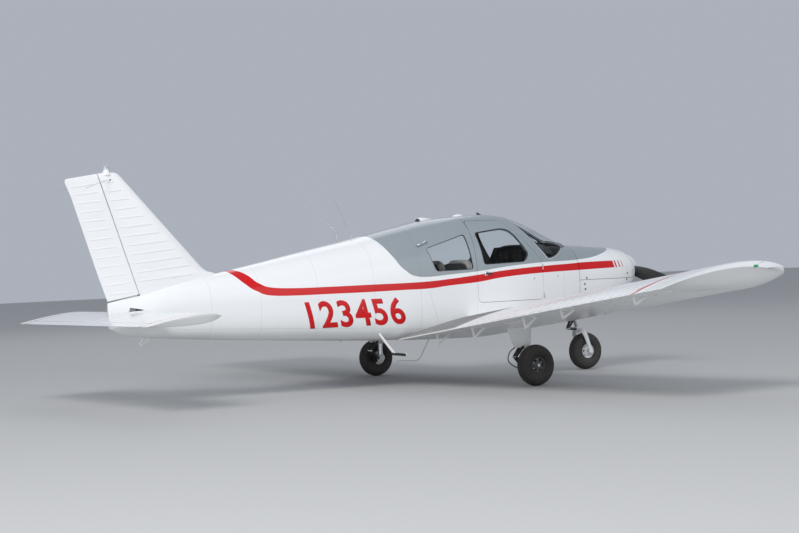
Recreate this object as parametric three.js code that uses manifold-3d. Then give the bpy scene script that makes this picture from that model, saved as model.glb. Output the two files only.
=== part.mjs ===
// A four-place, low-wing light aircraft with fixed tricycle landing gear, parked on the ground.
// Millimetres. X is to the aircraft's left, Y runs aft, Z is up. Lengths along Y are counted from
// the main wheels' axle and heights from the ground; the last lines move the origin to the middle
// of the aircraft's length.
import * as THREE from 'three';
import { mergeVertices } from 'three/addons/utils/BufferGeometryUtils.js';
import Module from 'manifold-3d';

const wasm = await Module();
wasm.setup();

// Overall places
const spinnerTipY = -2670;
const rudderTopAftY = 4382;
const trackHalf = 1524;
const noseWheelY = -1868;
const seatGap = 0.3;
const runningGap = 6;

// Fuselage: the firewall seam, the cabin's rear bulkhead, the tail cone's end and the wall
const firewallY = -1400;
const bulkheadY = 1230;
const coneEndY = 3350;
const tailEndY = 3990;
const wall = 25;
const floorZ = 600;
const beltZ = 1150;
const doorTopZ = 1720;

// Wing
const chord = 1600;
const wingLeadY = -645;
const wingTrailZ = 446;
const dihedral = THREE.MathUtils.degToRad(7);
const wingPitch = 0.065;
const wingRoot = 400;
const tipStart = 4300;
const wingThickness = 0.15;
const wingCamber = 0.02;
const surfaceHingeY = 635;
const surfaceNose = 54;
const flapSpan = [650, 2690];
const aileronSpan = [2702, 4372];
const flapHinges = [850, 2490];
const aileronHinges = [2860, 4200];

// Tail
const stabilatorPivot = { y: 3745, z: 868 };
const stabilatorHalfSpan = 1524;
const stabilatorChord = 760;
const stabilatorLeadY = 3540;
const stabilatorPitch = THREE.MathUtils.degToRad(4.5);
const tabChord = 110;
const rudderAxisFoot = { y: 3688, z: 1100 };
const rudderAxisHead = { y: 4084, z: 2275 };

// Wheels
const tyreRadius = 210;
const tyreHalfWidth = 76;
const rimRadius = 80;
const axleRadius = 16;

// Propeller
const thrustZ = 1149;
const propellerY = -2500;
const propellerRadius = 940;
const spinnerRadius = 150;
const spinnerBackY = -2440;
const hubBackY = -2452;

const paint = (name, color, roughness, metalness = 0) =>
  new THREE.MeshStandardMaterial({ name, color, roughness, metalness });
const white = paint('white', 0xf2f2ef, 0.35);
const greyBlue = paint('grey_blue', 0xa5b4bc, 0.35);
const dark = paint('dark', 0x17181a, 0.6);
const rubber = paint('rubber', 0x141414, 0.85);
const steel = paint('steel', 0xb9bcc0, 0.35, 0.9);
const cloth = paint('cloth', 0x3a3c42, 0.9);
const castMetal = paint('cast_metal', 0x6f7276, 0.6, 0.6);
const red = paint('red', 0xd01818, 0.35);
const glass = new THREE.MeshStandardMaterial({
  name: 'glass', color: 0xb9c9cc, roughness: 0.05, transparent: true, opacity: 0.35,
});

// Solids from geometry: shared corners merged, empty triangles dropped, faces turned outward
function solid(geometry) {
  const bare = geometry.clone();
  bare.deleteAttribute('normal');
  bare.deleteAttribute('uv');
  const merged = mergeVertices(bare, 0.002);
  const points = merged.attributes.position.array;
  const corners = merged.index.array;
  const kept = [];
  let volume = 0;
  const a = new THREE.Vector3();
  const b = new THREE.Vector3();
  const c = new THREE.Vector3();
  for (let i = 0; i < corners.length; i += 3) {
    const [p, q, r] = [corners[i], corners[i + 1], corners[i + 2]];
    if (p === q || q === r || r === p) continue;
    kept.push(p, q, r);
    a.fromArray(points, 3 * p);
    b.fromArray(points, 3 * q);
    c.fromArray(points, 3 * r);
    volume += a.dot(b.cross(c));
  }
  if (volume < 0) kept.reverse();
  return new wasm.Manifold(new wasm.Mesh({
    numProp: 3,
    vertProperties: Float32Array.from(points),
    triVerts: Uint32Array.from(kept),
  }));
}

const union = (first, ...rest) => rest.reduce((sum, next) => sum.add(next), first);
const minus = (first, ...rest) => rest.reduce((sum, next) => sum.subtract(next), first);
// A cut can leave slivers beside the piece that is wanted, which is the largest one
const largest = (body) => body.decompose().sort((a, b) => b.volume() - a.volume())[0];

// A closed body through rings that have the same number of points, with its ends filled flat
function loft(rings) {
  const count = rings[0].length;
  const points = rings.flat(2);
  const index = [];
  for (let i = 0; i + 1 < rings.length; i += 1) {
    for (let j = 0; j < count; j += 1) {
      const p = i * count + j;
      const q = i * count + ((j + 1) % count);
      index.push(p, q, q + count, p, q + count, p + count);
    }
  }
  for (const [ring, first, turn] of [[rings[0], 0, 1], [rings.at(-1), (rings.length - 1) * count, 0]]) {
    const centre = points.length / 3;
    for (const axis of [0, 1, 2]) {
      points.push(ring.reduce((sum, point) => sum + point[axis], 0) / count);
    }
    for (let j = 0; j < count; j += 1) {
      const p = first + j;
      const q = first + ((j + 1) % count);
      index.push(...(turn ? [centre, q, p] : [centre, p, q]));
    }
  }
  const geometry = new THREE.BufferGeometry();
  geometry.setAttribute('position', new THREE.Float32BufferAttribute(points, 3));
  geometry.setIndex(index);
  return geometry;
}

const placed = (geometry, matrix) => {
  const copy = geometry.clone();
  copy.applyMatrix4(matrix);
  return solid(copy);
};

// A box from its low and high corners
function block([x0, y0, z0], [x1, y1, z1]) {
  const box = new THREE.BoxGeometry(x1 - x0, y1 - y0, z1 - z0);
  box.translate((x0 + x1) / 2, (y0 + y1) / 2, (z0 + z1) / 2);
  return solid(box);
}

// A round bar between two points, its radius at each end
function bar(from, to, radius, sides = 20, endRadius = radius) {
  const start = new THREE.Vector3(...from);
  const end = new THREE.Vector3(...to);
  const geometry = new THREE.CylinderGeometry(endRadius, radius, start.distanceTo(end), sides);
  const turn = new THREE.Quaternion().setFromUnitVectors(
    new THREE.Vector3(0, 1, 0), end.clone().sub(start).normalize());
  geometry.applyQuaternion(turn);
  const middle = start.add(end).multiplyScalar(0.5);
  geometry.translate(middle.x, middle.y, middle.z);
  return solid(geometry);
}

// A plate with a side outline in Y and Z, rounded at its corners, from one X to another
function sidePlate(corners, radius, x0, x1) {
  const shape = new THREE.Shape();
  corners.forEach((corner, i) => {
    const here = new THREE.Vector2(...corner);
    const before = new THREE.Vector2(...corners.at(i - 1));
    const after = new THREE.Vector2(...corners[(i + 1) % corners.length]);
    const enter = here.clone().add(before.sub(here).setLength(radius));
    const leave = here.clone().add(after.sub(here).setLength(radius));
    if (i === 0) shape.moveTo(enter.x, enter.y);
    else shape.lineTo(enter.x, enter.y);
    if (radius > 0) shape.quadraticCurveTo(here.x, here.y, leave.x, leave.y);
  });
  shape.closePath();
  const geometry = new THREE.ExtrudeGeometry(
    shape, { depth: x1 - x0, bevelEnabled: false, curveSegments: 3 });
  geometry.applyMatrix4(new THREE.Matrix4().set(
    0, 0, 1, x0,
    1, 0, 0, 0,
    0, 1, 0, 0,
    0, 0, 0, 1));
  return solid(geometry);
}

// A turned body about an X line, from a profile of [radius, x]
function turnedAboutX(profile, centre, segments = 24) {
  const geometry = new THREE.LatheGeometry(profile.map(([r, x]) => new THREE.Vector2(r, x)), segments);
  geometry.rotateZ(-Math.PI / 2);
  geometry.translate(...centre);
  return solid(geometry);
}

// Hinges of a control surface, in a frame whose X is the hinge line, Y aft and Z up: at each place
// the surface has a slot in its nose with a pin across it, and the fixed structure a lug that holds
// the pin. The lug is short enough for the slot's rear wall to swing past it
const hingeSlot = 22;
const hingeLug = 10;
function hinges(frame, nose, places) {
  const cut = (x, width, [y0, y1], half) => placed(
    new THREE.BoxGeometry(width, y1 - y0, 2 * half).translate(x, (y0 + y1) / 2, 0), frame);
  const pinRadius = 0.13 * nose;
  // Eight-sided: the pin's corners pass the bore's flats
  const boreRadius = pinRadius / Math.cos(Math.PI / 8) + seatGap;
  const round = (radius, x, length) => placed(
    new THREE.CylinderGeometry(radius, radius, length, 8).rotateZ(Math.PI / 2).translate(x, 0, 0), frame);
  const lugHalf = 0.32 * nose;
  const each = (make) => union(...places.map(make));
  return {
    slots: each((x) => cut(x, hingeSlot, [-nose - 5, 0.55 * nose], 3 * nose)),
    pins: each((x) => round(pinRadius, x, hingeSlot + 16)),
    lugs: minus(
      each((x) => cut(x, hingeLug, [-nose - runningGap - 12, lugHalf], lugHalf)),
      each((x) => round(boreRadius, x, hingeLug + 4))),
  };
}

const group = new THREE.Group();
function addPart(name, body, material) {
  const mesh = body.getMesh();
  const geometry = new THREE.BufferGeometry();
  geometry.setAttribute('position', new THREE.BufferAttribute(Float32Array.from(mesh.vertProperties), 3));
  geometry.setIndex(new THREE.BufferAttribute(Uint32Array.from(mesh.triVerts), 1));
  geometry.computeVertexNormals();
  const part = new THREE.Mesh(geometry, material);
  part.name = name;
  group.add(part);
}

// Fuselage sections: each is two half super-ellipses that meet at the waist, the widest line
const skinPoints = 28;
const liningPoints = 20;
function ring([y, halfWidth, bottom, waist, top, lowPower, highPower], inset, count = skinPoints) {
  return Array.from({ length: count }, (_, k) => {
    const angle = (2 * Math.PI * k) / count;
    const c = Math.cos(angle);
    const s = Math.sin(angle);
    const power = s > 0 ? highPower : lowPower;
    const reach = s > 0 ? top - inset - waist : waist - bottom - inset;
    return [
      (halfWidth - inset) * Math.sign(c) * Math.abs(c) ** (2 / power),
      y,
      waist + reach * Math.sign(s) * Math.abs(s) ** (2 / power),
    ];
  });
}

// Columns: y, half width, bottom, waist, top, power below the waist, power above it
const cabinSections = [
  [firewallY, 538, 627, 1040, 1434, 3.7, 2.9],
  [-1270, 547, 592, 1040, 1498, 4, 2.8],
  [-1100, 553, 560, 1040, 1585, 4.2, 2.7],
  [-900, 558, 525, 1030, 1682, 4.6, 2.7],
  [-750, 560, 505, 1020, 1738, 4.8, 2.7],
  [-554, 560, 490, 1010, 1778, 5, 2.7],
  [-100, 560, 482, 1000, 1778, 5, 2.7],
  [314, 556, 482, 1000, 1745, 4.8, 2.6],
  [760, 528, 488, 990, 1660, 4.4, 2.5],
  [1230, 478, 505, 980, 1560, 4, 2.4],
];
const coneSections = [
  cabinSections.at(-1),
  [1800, 405, 535, 970, 1455, 3.4, 2.3],
  [2400, 318, 572, 950, 1340, 3, 2.2],
  [2950, 228, 610, 930, 1240, 2.7, 2.2],
  [3350, 158, 642, 915, 1165, 2.6, 2.2],
];
const fairingSections = [
  coneSections.at(-1),
  [3660, 95, 674, 895, 1078, 2.5, 2.2],
  [3850, 52, 712, 880, 1038, 2.4, 2.2],
  [tailEndY, 22, 770, 875, 1010, 2.2, 2.2],
];
const cowlSections = [
  [-2410, 235, 1010, 1130, 1250, 2.1, 2.1],
  [-2380, 310, 945, 1115, 1290, 2.2, 2.2],
  [-2300, 385, 885, 1095, 1342, 2.5, 2.4],
  [-2170, 442, 820, 1065, 1372, 2.8, 2.6],
  [-1950, 494, 740, 1045, 1390, 3.1, 2.8],
  cabinSections[0],
];

const shellSections = [...cabinSections, ...coneSections.slice(1)];
const stretched = (sections, first, last) => {
  const copy = sections.map((row) => [...row]);
  copy[0][0] += first;
  copy.at(-1)[0] += last;
  return copy;
};
const hull = (sections, inset, first = 0, last = 0, count = skinPoints) =>
  solid(loft(stretched(sections, first, last).map((row) => ring(row, inset, count))));

const shell = minus(hull(shellSections, 0), hull(shellSections, wall, -1, 1, liningPoints));
const inside = hull(shellSections, wall + seatGap, 0, 0, liningPoints);
const outsideGrown = hull(shellSections, -seatGap, -1, 1);
const far = 6000;
const between = (low, high) => block(low, high);

// Windows and the door, as side outlines in Y and Z. The door is on the right only.
const frontWindow = [[-650, 1256], [-105, 1243], [-62, 1590], [-455, 1634], [-555, 1590], [-712, 1345]];
const rearWindow = [[35, 1200], [505, 1192], [585, 1440], [75, 1580]];
const windshieldSide = [[-1310, 1400], [-1210, 1392], [-1085, 1305], [-975, 1280], [-640, 1690], [-1310, 1690]];
const windowRadius = 30;
const postHalf = 22;
const doorOutline = [[-880, 845], [-8, 845], [-8, doorTopZ], [-500, doorTopZ], [-575, 1640], [-880, 1255]];
const doorGap = 5;

// The outline moved outward by a distance, for the opening round a door
function grown(corners, distance) {
  return corners.map((corner, i) => {
    const before = corners.at(i - 1);
    const after = corners[(i + 1) % corners.length];
    const inward = new THREE.Vector2(corner[0] - before[0], corner[1] - before[1]).normalize();
    const onward = new THREE.Vector2(after[0] - corner[0], after[1] - corner[1]).normalize();
    const normal = new THREE.Vector2(inward.y + onward.y, -inward.x - onward.x).normalize();
    const share = distance / normal.dot(new THREE.Vector2(inward.y, -inward.x));
    return [corner[0] + normal.x * share, corner[1] + normal.y * share];
  });
}

// The door's rear edge slopes forward with depth, so that it swings out past the wall behind it
const doorSlope = 75;
const aftOfDoor = (gap) => solid(loft([
  ring([-doorSlope - gap, ...cabinSections[6].slice(1)], 50),
  ring([-gap, ...cabinSections[6].slice(1)], 0),
  ring([40, ...cabinSections[6].slice(1)], -40),
  ring([600, ...cabinSections[6].slice(1)], -40),
]));
const doorRegion = (gap) => minus(
  sidePlate(grown(doorOutline, gap), 40, -800, -150), aftOfDoor(doorGap - gap));

const paneShell = minus(hull(shellSections, 8, -2, 2), hull(shellSections, 13, -3, 3));
const pane = (outline, x0, x1) => paneShell.intersect(sidePlate(grown(outline, -seatGap), windowRadius, x0, x1));
const opening = (outline, x0, x1) => sidePlate(outline, windowRadius, x0, x1);

const windshieldRight = opening(windshieldSide, -700, -postHalf);
const windshieldLeft = opening(windshieldSide, postHalf, 700);

// Two outside hinges on the door's front edge: a barrel on the door round a pin on the body
const doorAxis = { x: -572, y: -882 };
const doorHingeZ = [870, 1200];
const knuckle = 9;
const hingeDepth = 34;
const doorBarrel = (z) => minus(
  union(
    bar([doorAxis.x, doorAxis.y, z], [doorAxis.x, doorAxis.y, z + 26], knuckle, 12),
    block([doorAxis.x - 4, doorAxis.y, z], [doorAxis.x + hingeDepth, doorAxis.y + 40, z + 26])),
  bar([doorAxis.x, doorAxis.y, z - 5], [doorAxis.x, doorAxis.y, z + 40], 5 + seatGap, 12));
const bodyKnuckle = (z) => union(
  bar([doorAxis.x, doorAxis.y, z - 26], [doorAxis.x, doorAxis.y, z - seatGap], knuckle, 12),
  block([doorAxis.x - 4, doorAxis.y - 34, z - 26], [doorAxis.x + hingeDepth, doorAxis.y, z - seatGap]),
  bar([doorAxis.x, doorAxis.y, z - 20], [doorAxis.x, doorAxis.y, z + 24], 5, 12));

const hingeRecess = (z) => block(
  [doorAxis.x - 12, doorAxis.y - 12, z - 32], [doorAxis.x + hingeDepth + 4, doorAxis.y + 12, z + 32]);

addPart('belly', shell.intersect(
  between([-far, firewallY, 0], [far, bulkheadY, floorZ])), white);
addPart('cabin_floor', inside.intersect(
  between([-far, firewallY + 40, floorZ + seatGap], [far, bulkheadY - 40, floorZ + 20])), dark);
const sideBand = (low, high, z1 = beltZ) => shell.intersect(
  between([low, firewallY, floorZ + seatGap], [high, bulkheadY, z1 - seatGap]));
addPart('side_left', sideBand(0, far), white);
addPart('side_right', minus(sideBand(-far, 0), doorRegion(doorGap))
  .add(bodyKnuckle(doorHingeZ[0])), white);
addPart('cabin_top', minus(
  shell.intersect(between([-far, firewallY, beltZ], [far, bulkheadY, far])),
  doorRegion(doorGap),
  windshieldRight,
  windshieldLeft,
  opening(rearWindow, -800, -150),
  opening(rearWindow, 150, 800),
  opening(frontWindow, 150, 800)).add(bodyKnuckle(doorHingeZ[1])), greyBlue);
addPart('windshield_left', pane(windshieldSide, postHalf + seatGap, 700), glass);
addPart('windshield_right', pane(windshieldSide, -700, -postHalf - seatGap), glass);
addPart('window_left_front', pane(frontWindow, 150, 800), glass);
addPart('window_left_rear', pane(rearWindow, 150, 800), glass);
addPart('window_right_rear', pane(rearWindow, -800, -150), glass);

// Door with its window and handle
const handle = union(
  block([-582, -170, 1130], [-560, -90, 1150]),
  bar([-548, -160, 1140], [-570, -160, 1140], 8, 12));
addPart('door', union(
  minus(shell.intersect(doorRegion(0)), opening(frontWindow, -800, -150), ...doorHingeZ.map(hingeRecess)),
  handle, ...doorHingeZ.map(doorBarrel)), white);
addPart('door_window', pane(frontWindow, -800, -150), glass);

// Firewall and the cabin's rear bulkhead
addPart('firewall', inside.intersect(between([-far, firewallY, 0], [far, firewallY + 20, far])), steel);
addPart('bulkhead', minus(
  inside.intersect(between([-far, bulkheadY - 30, floorZ + 30], [far, bulkheadY - 18, far])),
  block([-220, bulkheadY - 100, 1100], [220, bulkheadY + 100, 1300])), cloth);

// Tail cone, an open tube, and the fairing that ends it
const coneShell = shell.intersect(between([-far, bulkheadY + seatGap, 0], [far, coneEndY, far]));
const torqueTubeRadius = 28;
const torqueTubeHole = bar(
  [-300, stabilatorPivot.y, stabilatorPivot.z], [300, stabilatorPivot.y, stabilatorPivot.z],
  torqueTubeRadius + 1, 16);
addPart('tail_cone', coneShell, white);
const fairing = minus(
  hull(fairingSections, 0, seatGap),
  hull(fairingSections.slice(0, 3), 14, -5, -80, liningPoints));
addPart('tail_fairing', minus(fairing, torqueTubeHole), white);

// Cowl: a shell closed in front but for two air inlets and the shaft hole, open at its rear
const cowlWall = 12;
const cowlShell = minus(
  hull(cowlSections, 0, 0, -seatGap),
  hull([[-2585, ...cowlSections[0].slice(1)], ...cowlSections.slice(2)], cowlWall, 0, 5, liningPoints),
  bar([0, -2500, thrustZ], [0, -2300, thrustZ], 70, 24),
  block([-245, -2500, 1090], [-115, -2250, 1180]),
  block([115, -2500, 1090], [245, -2250, 1180]),
  block([-200, -1740, 500], [200, -1300, 760]));
const cowlSplitZ = 1030;
addPart('cowl_upper', cowlShell.intersect(
  between([-far, -far, cowlSplitZ + seatGap], [far, firewallY - seatGap, far])), greyBlue);
addPart('cowl_lower', cowlShell.intersect(
  between([-far, -far, 0], [far, firewallY - seatGap, cowlSplitZ])), white);

// Engine as one block on its mount, with the propeller shaft
const engineMount = [[-250, 950], [250, 950], [-250, 1190], [250, 1190]];
addPart('engine_block', union(
  block([-350, -2190, 910], [350, -1700, 1260]),
  block([-405, -2070, 900], [405, -1700, 1230]),
  block([-380, -1900, 810], [380, -1700, 950]),
  block([-320, -2040, 1200], [320, -1700, 1310]),
  bar([0, -2260, thrustZ], [0, -2180, thrustZ], 60, 16),
  bar([0, hubBackY + seatGap, thrustZ], [0, -2250, thrustZ], 36, 16),
  ...engineMount.map(([x, z]) => bar([x, -1720, z], [x, firewallY - seatGap, z], 18, 6))), castMetal);

// Spinner and propeller: the shaft ends inside the spinner's back plate
const spinnerLength = spinnerBackY - spinnerTipY;
const spinnerProfile = [
  [0, 0], [14, 4], [33, 20], [72, 55], [111, 105], [136, 155], [148, 205], [spinnerRadius, spinnerLength],
  [0, spinnerLength],
];
const spinnerGeometry = new THREE.LatheGeometry(spinnerProfile.map(([r, y]) => new THREE.Vector2(r, y)), 20);
spinnerGeometry.translate(0, spinnerTipY, thrustZ);

// Blade sections along its length: radius, chord, thickness and pitch in degrees
const bladeSections = [
  [70, 100, 60, 60],
  [200, 130, 40, 42],
  [350, 150, 26, 32],
  [550, 145, 18, 24],
  [750, 125, 13, 19],
  [900, 90, 9, 16],
  [propellerRadius, 40, 6, 15],
];
const bladePoints = 10;
function blade(turn, grow = 0) {
  const rings = bladeSections.map(([r, chordLength, thickness, pitch]) => {
    const width = chordLength + grow;
    const thick = thickness + grow;
    const tilt = THREE.MathUtils.degToRad(pitch);
    return Array.from({ length: bladePoints }, (_, k) => {
      const angle = (2 * Math.PI * k) / bladePoints;
      const across = (width / 2) * Math.cos(angle);
      const deep = (thick / 2) * Math.sin(angle);
      const side = across * Math.cos(tilt) - deep * Math.sin(tilt);
      const along = across * Math.sin(tilt) + deep * Math.cos(tilt);
      return [
        r * Math.cos(turn) - side * Math.sin(turn),
        propellerY + along,
        thrustZ + r * Math.sin(turn) + side * Math.cos(turn),
      ];
    });
  });
  return solid(loft(rings));
}
const propellerTurn = THREE.MathUtils.degToRad(14);
const hubRadius = 75;
addPart('propeller', union(
  blade(propellerTurn), blade(propellerTurn + Math.PI),
  bar([0, propellerY - 30, thrustZ], [0, hubBackY, thrustZ], hubRadius, 20)), dark);
addPart('spinner', minus(
  solid(spinnerGeometry),
  blade(propellerTurn, 2 * seatGap), blade(propellerTurn + Math.PI, 2 * seatGap),
  bar([0, propellerY - 30 - seatGap, thrustZ], [0, spinnerBackY + 10, thrustZ], hubRadius + 0.5, 20)), white);

// Wing section: thickness by the four-digit formula on a parabolic camber line, leading edge first
const wingHalf = 11;
function airfoil(thickness, camber) {
  const x = Array.from({ length: wingHalf + 1 }, (_, k) => (1 - Math.cos((Math.PI * k) / wingHalf)) / 2);
  const half = (t) => 5 * thickness
    * (0.2969 * Math.sqrt(t) - 0.126 * t - 0.3516 * t ** 2 + 0.2843 * t ** 3 - 0.1015 * t ** 4);
  const bow = (t) => 4 * camber * t * (1 - t);
  const upper = x.map((t) => [t, bow(t) + half(t)]);
  const lower = x.map((t) => [t, bow(t) - half(t)]);
  return { upper, lower };
}
const wingFoil = airfoil(wingThickness, wingCamber);

// One wing station: s along the span, the leading edge's retreat, and how far the lower skin rises
function wingRing(s, retreat, lift) {
  const length = chord - retreat;
  const place = ([t, up]) => {
    const y = wingLeadY + retreat + t * length;
    return [s, y, (chord - retreat - t * length) * wingPitch + up * chord];
  };
  const raised = wingFoil.lower.map(([t, low], k) => {
    const high = wingFoil.upper[k][1] - 0.004;
    return [t, low + Math.max(0, high - low) * lift];
  });
  return [...wingFoil.upper.map(place), ...raised.slice(1, -1).reverse().map(place)];
}

// Columns: place along the span, leading edge retreat, rise of the lower skin
const wingStations = [
  [wingRoot, 0, 0],
  [tipStart, 0, 0],
  [4421, 8, 0.12],
  [4501, 40, 0.36],
  [4561, 120, 0.7],
  [4607, 330, 0.96],
];
const wingPlace = (side) => new THREE.Matrix4()
  .makeScale(side, 1, 1)
  .multiply(new THREE.Matrix4().makeTranslation(0, 0, wingTrailZ))
  .multiply(new THREE.Matrix4().makeRotationY(-dihedral));

// A prism across the span: all that lies aft of a round nose on the hinge line
const surfaceHingeN = (chord + wingLeadY - surfaceHingeY) * wingPitch + 20;
function aftPrism(radius, s0, s1) {
  const shape = new THREE.Shape();
  shape.absarc(surfaceHingeY, surfaceHingeN, radius, Math.PI / 2, 1.5 * Math.PI, false);
  shape.lineTo(1400, surfaceHingeN - radius - 200);
  shape.lineTo(1400, surfaceHingeN + radius + 200);
  shape.closePath();
  const geometry = new THREE.ExtrudeGeometry(shape, { depth: s1 - s0, bevelEnabled: false, curveSegments: 8 });
  geometry.applyMatrix4(new THREE.Matrix4().set(
    0, 0, 1, s0,
    1, 0, 0, 0,
    0, 1, 0, 0,
    0, 0, 0, 1));
  return geometry;
}
for (const [name, side] of [['left', 1], ['right', -1]]) {
  const place = wingPlace(side);
  const whole = largest(minus(placed(loft(wingStations.map((row) => wingRing(...row))), place), outsideGrown));
  const pocket = placed(
    aftPrism(surfaceNose + runningGap, flapSpan[0] - runningGap, aileronSpan[1] + runningGap), place);
  const hingeFrame = place.clone().multiply(
    new THREE.Matrix4().makeTranslation(0, surfaceHingeY, surfaceHingeN));
  const wingHinges = hinges(hingeFrame, surfaceNose, [...flapHinges, ...aileronHinges]);
  addPart(`wing_${name}`, minus(whole, pocket).add(wingHinges.lugs), white);
  const surfaces = [['flap', flapSpan, flapHinges], ['aileron', aileronSpan, aileronHinges]];
  for (const [surface, [s0, s1], hingePlaces] of surfaces) {
    const own = hinges(hingeFrame, surfaceNose, hingePlaces);
    addPart(`${surface}_${name}`, union(
      minus(whole.intersect(placed(aftPrism(surfaceNose, s0, s1), place)), own.slots), own.pins), white);
  }
}

// Fin and rudder: flat-sided tapered sections, cut along the raked hinge line
const finFoil = airfoil(0.09, 0);
function finRing(z, leadY, trailY) {
  const length = trailY - leadY;
  const place = ([t, up]) => [up * length, leadY + t * length, z];
  return [...finFoil.upper.map(place), ...finFoil.lower.slice(1, -1).reverse().map(place)];
}
const axisY = (z) => rudderAxisFoot.y
  + ((rudderAxisHead.y - rudderAxisFoot.y) * (z - rudderAxisFoot.z)) / (rudderAxisHead.z - rudderAxisFoot.z);
// Columns: height, leading edge, trailing edge
const finStations = [
  [1040, 2830, 3990],
  [1290, 2925, 4078],
  [2230, 3790, 4380],
  [2268, 3850, 4372],
  [2284, 3950, 4340],
];
const finWhole = solid(loft(finStations.map((row) => finRing(...row))));
const hingeNose = 34;
const rudderRake = Math.atan2(rudderAxisHead.y - rudderAxisFoot.y, rudderAxisHead.z - rudderAxisFoot.z);
const rudderFrame = new THREE.Matrix4()
  .makeTranslation(0, rudderAxisFoot.y, rudderAxisFoot.z)
  .multiply(new THREE.Matrix4().makeRotationX(-rudderRake));
const alongHinge = (radius) => union(
  placed(new THREE.CylinderGeometry(radius, radius, 1800, 24).rotateX(Math.PI / 2).translate(0, 0, 600),
    rudderFrame),
  placed(new THREE.BoxGeometry(400, 900, 1800).translate(0, 450, 600), rudderFrame));
const rudderHinges = hinges(
  rudderFrame.clone().multiply(new THREE.Matrix4().makeRotationY(-Math.PI / 2)), hingeNose, [150, 1050]);
const fairingGrown = union(
  hull([...coneSections.slice(1)], -seatGap), hull(fairingSections, -seatGap));
const rudderBottom = [[3300, 700], [4300, 700], [4300, 985], [3995, 1036], [3674, 1096], [3300, 1160]];
addPart('fin', minus(finWhole, alongHinge(hingeNose + runningGap), fairingGrown)
  .add(rudderHinges.lugs), white);
addPart('rudder', union(minus(
  finWhole.intersect(alongHinge(hingeNose)), sidePlate(rudderBottom, 0, -200, 200), rudderHinges.slots),
rudderHinges.pins), white);

// Stabilator in one piece round the tail fairing, on a torque tube, with its tab along the rear
const stabFoil = airfoil(0.09, 0);
function stabRing(x, leadY, length, scale = 1) {
  const place = ([t, up]) => {
    const y = leadY + t * length;
    const rise = (stabilatorPivot.y - y) * Math.tan(stabilatorPitch);
    return [x, y, stabilatorPivot.z + rise + up * stabilatorChord * scale];
  };
  return [...stabFoil.upper.map(place), ...stabFoil.lower.slice(1, -1).reverse().map(place)];
}
// Columns: distance from the middle, leading edge retreat, trailing edge lead, thickness scale
const stabTip = [
  [1440, 0, 0, 1],
  [1490, 30, 20, 0.75],
  [stabilatorHalfSpan, 120, 90, 0.3],
];
const stabStations = [
  ...stabTip.toReversed().map(([x, ...rest]) => [-x, ...rest]),
  ...stabTip,
];
const stabWhole = solid(loft(stabStations.map(([x, lead, trail, scale]) =>
  stabRing(x, stabilatorLeadY + lead, stabilatorChord - lead - trail, scale))));
const tabHinge = { y: stabilatorLeadY + stabilatorChord - tabChord };
tabHinge.z = stabilatorPivot.z - (tabHinge.y - stabilatorPivot.y) * Math.tan(stabilatorPitch);
const tabNose = 11;
const tabHalfSpan = 1390;
const tabPrism = (radius, half) => union(
  bar([-half, tabHinge.y, tabHinge.z], [half, tabHinge.y, tabHinge.z], radius, 20),
  block([-half, tabHinge.y, tabHinge.z - 100], [half, tabHinge.y + 300, tabHinge.z + 60]));
const stabNotch = block([-125, 3300, 600], [125, 4060, 1150]);
const tabHinges = hinges(
  new THREE.Matrix4().makeTranslation(0, tabHinge.y, tabHinge.z), tabNose, [-1100, -400, 400, 1100]);
addPart('stabilator', union(
  minus(stabWhole, tabPrism(tabNose + runningGap, tabHalfSpan + runningGap), stabNotch),
  tabHinges.lugs,
  bar([-140, stabilatorPivot.y, stabilatorPivot.z], [140, stabilatorPivot.y, stabilatorPivot.z],
    torqueTubeRadius, 16)), white);
addPart('stabilator_tab', union(
  minus(stabWhole.intersect(tabPrism(tabNose, tabHalfSpan)), tabHinges.slots), tabHinges.pins), white);

// Beacon on the fin's top
const beaconProfile = [[0, 0], [34, 0], [34, 18], [26, 24], [26, 58], [18, 76], [0, 84]];
const beacon = new THREE.LatheGeometry(beaconProfile.map(([r, z]) => new THREE.Vector2(r, z)), 12);
beacon.rotateX(Math.PI / 2);
beacon.translate(0, 3953, 2284 + seatGap);
addPart('beacon', solid(beacon), red);

// Wheels: a tyre round a rim, which turns on its axle
const tyreProfile = [
  [rimRadius + 2, -52], [150, -tyreHalfWidth], [192, -58], [tyreRadius, -20],
  [tyreRadius, 20], [192, 58], [150, tyreHalfWidth], [rimRadius + 2, 52],
  [rimRadius + 2, -52],
];
const rimProfile = [
  [axleRadius + 1, -58], [50, -58], [rimRadius + 1.7, -52],
  [rimRadius + 1.7, 52], [50, 58], [axleRadius + 1, 58],
  [axleRadius + 1, -58],
];
function wheel(name, centre) {
  addPart(`${name}_tyre`, turnedAboutX(tyreProfile, centre), rubber);
  addPart(`${name}_rim`, turnedAboutX(rimProfile, centre), steel);
}

// Main legs: a housing in a tapered fairing under the wing, the sliding leg, the axle and two
// torque links behind
const legInboard = 132;
const legY = 20;
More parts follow.
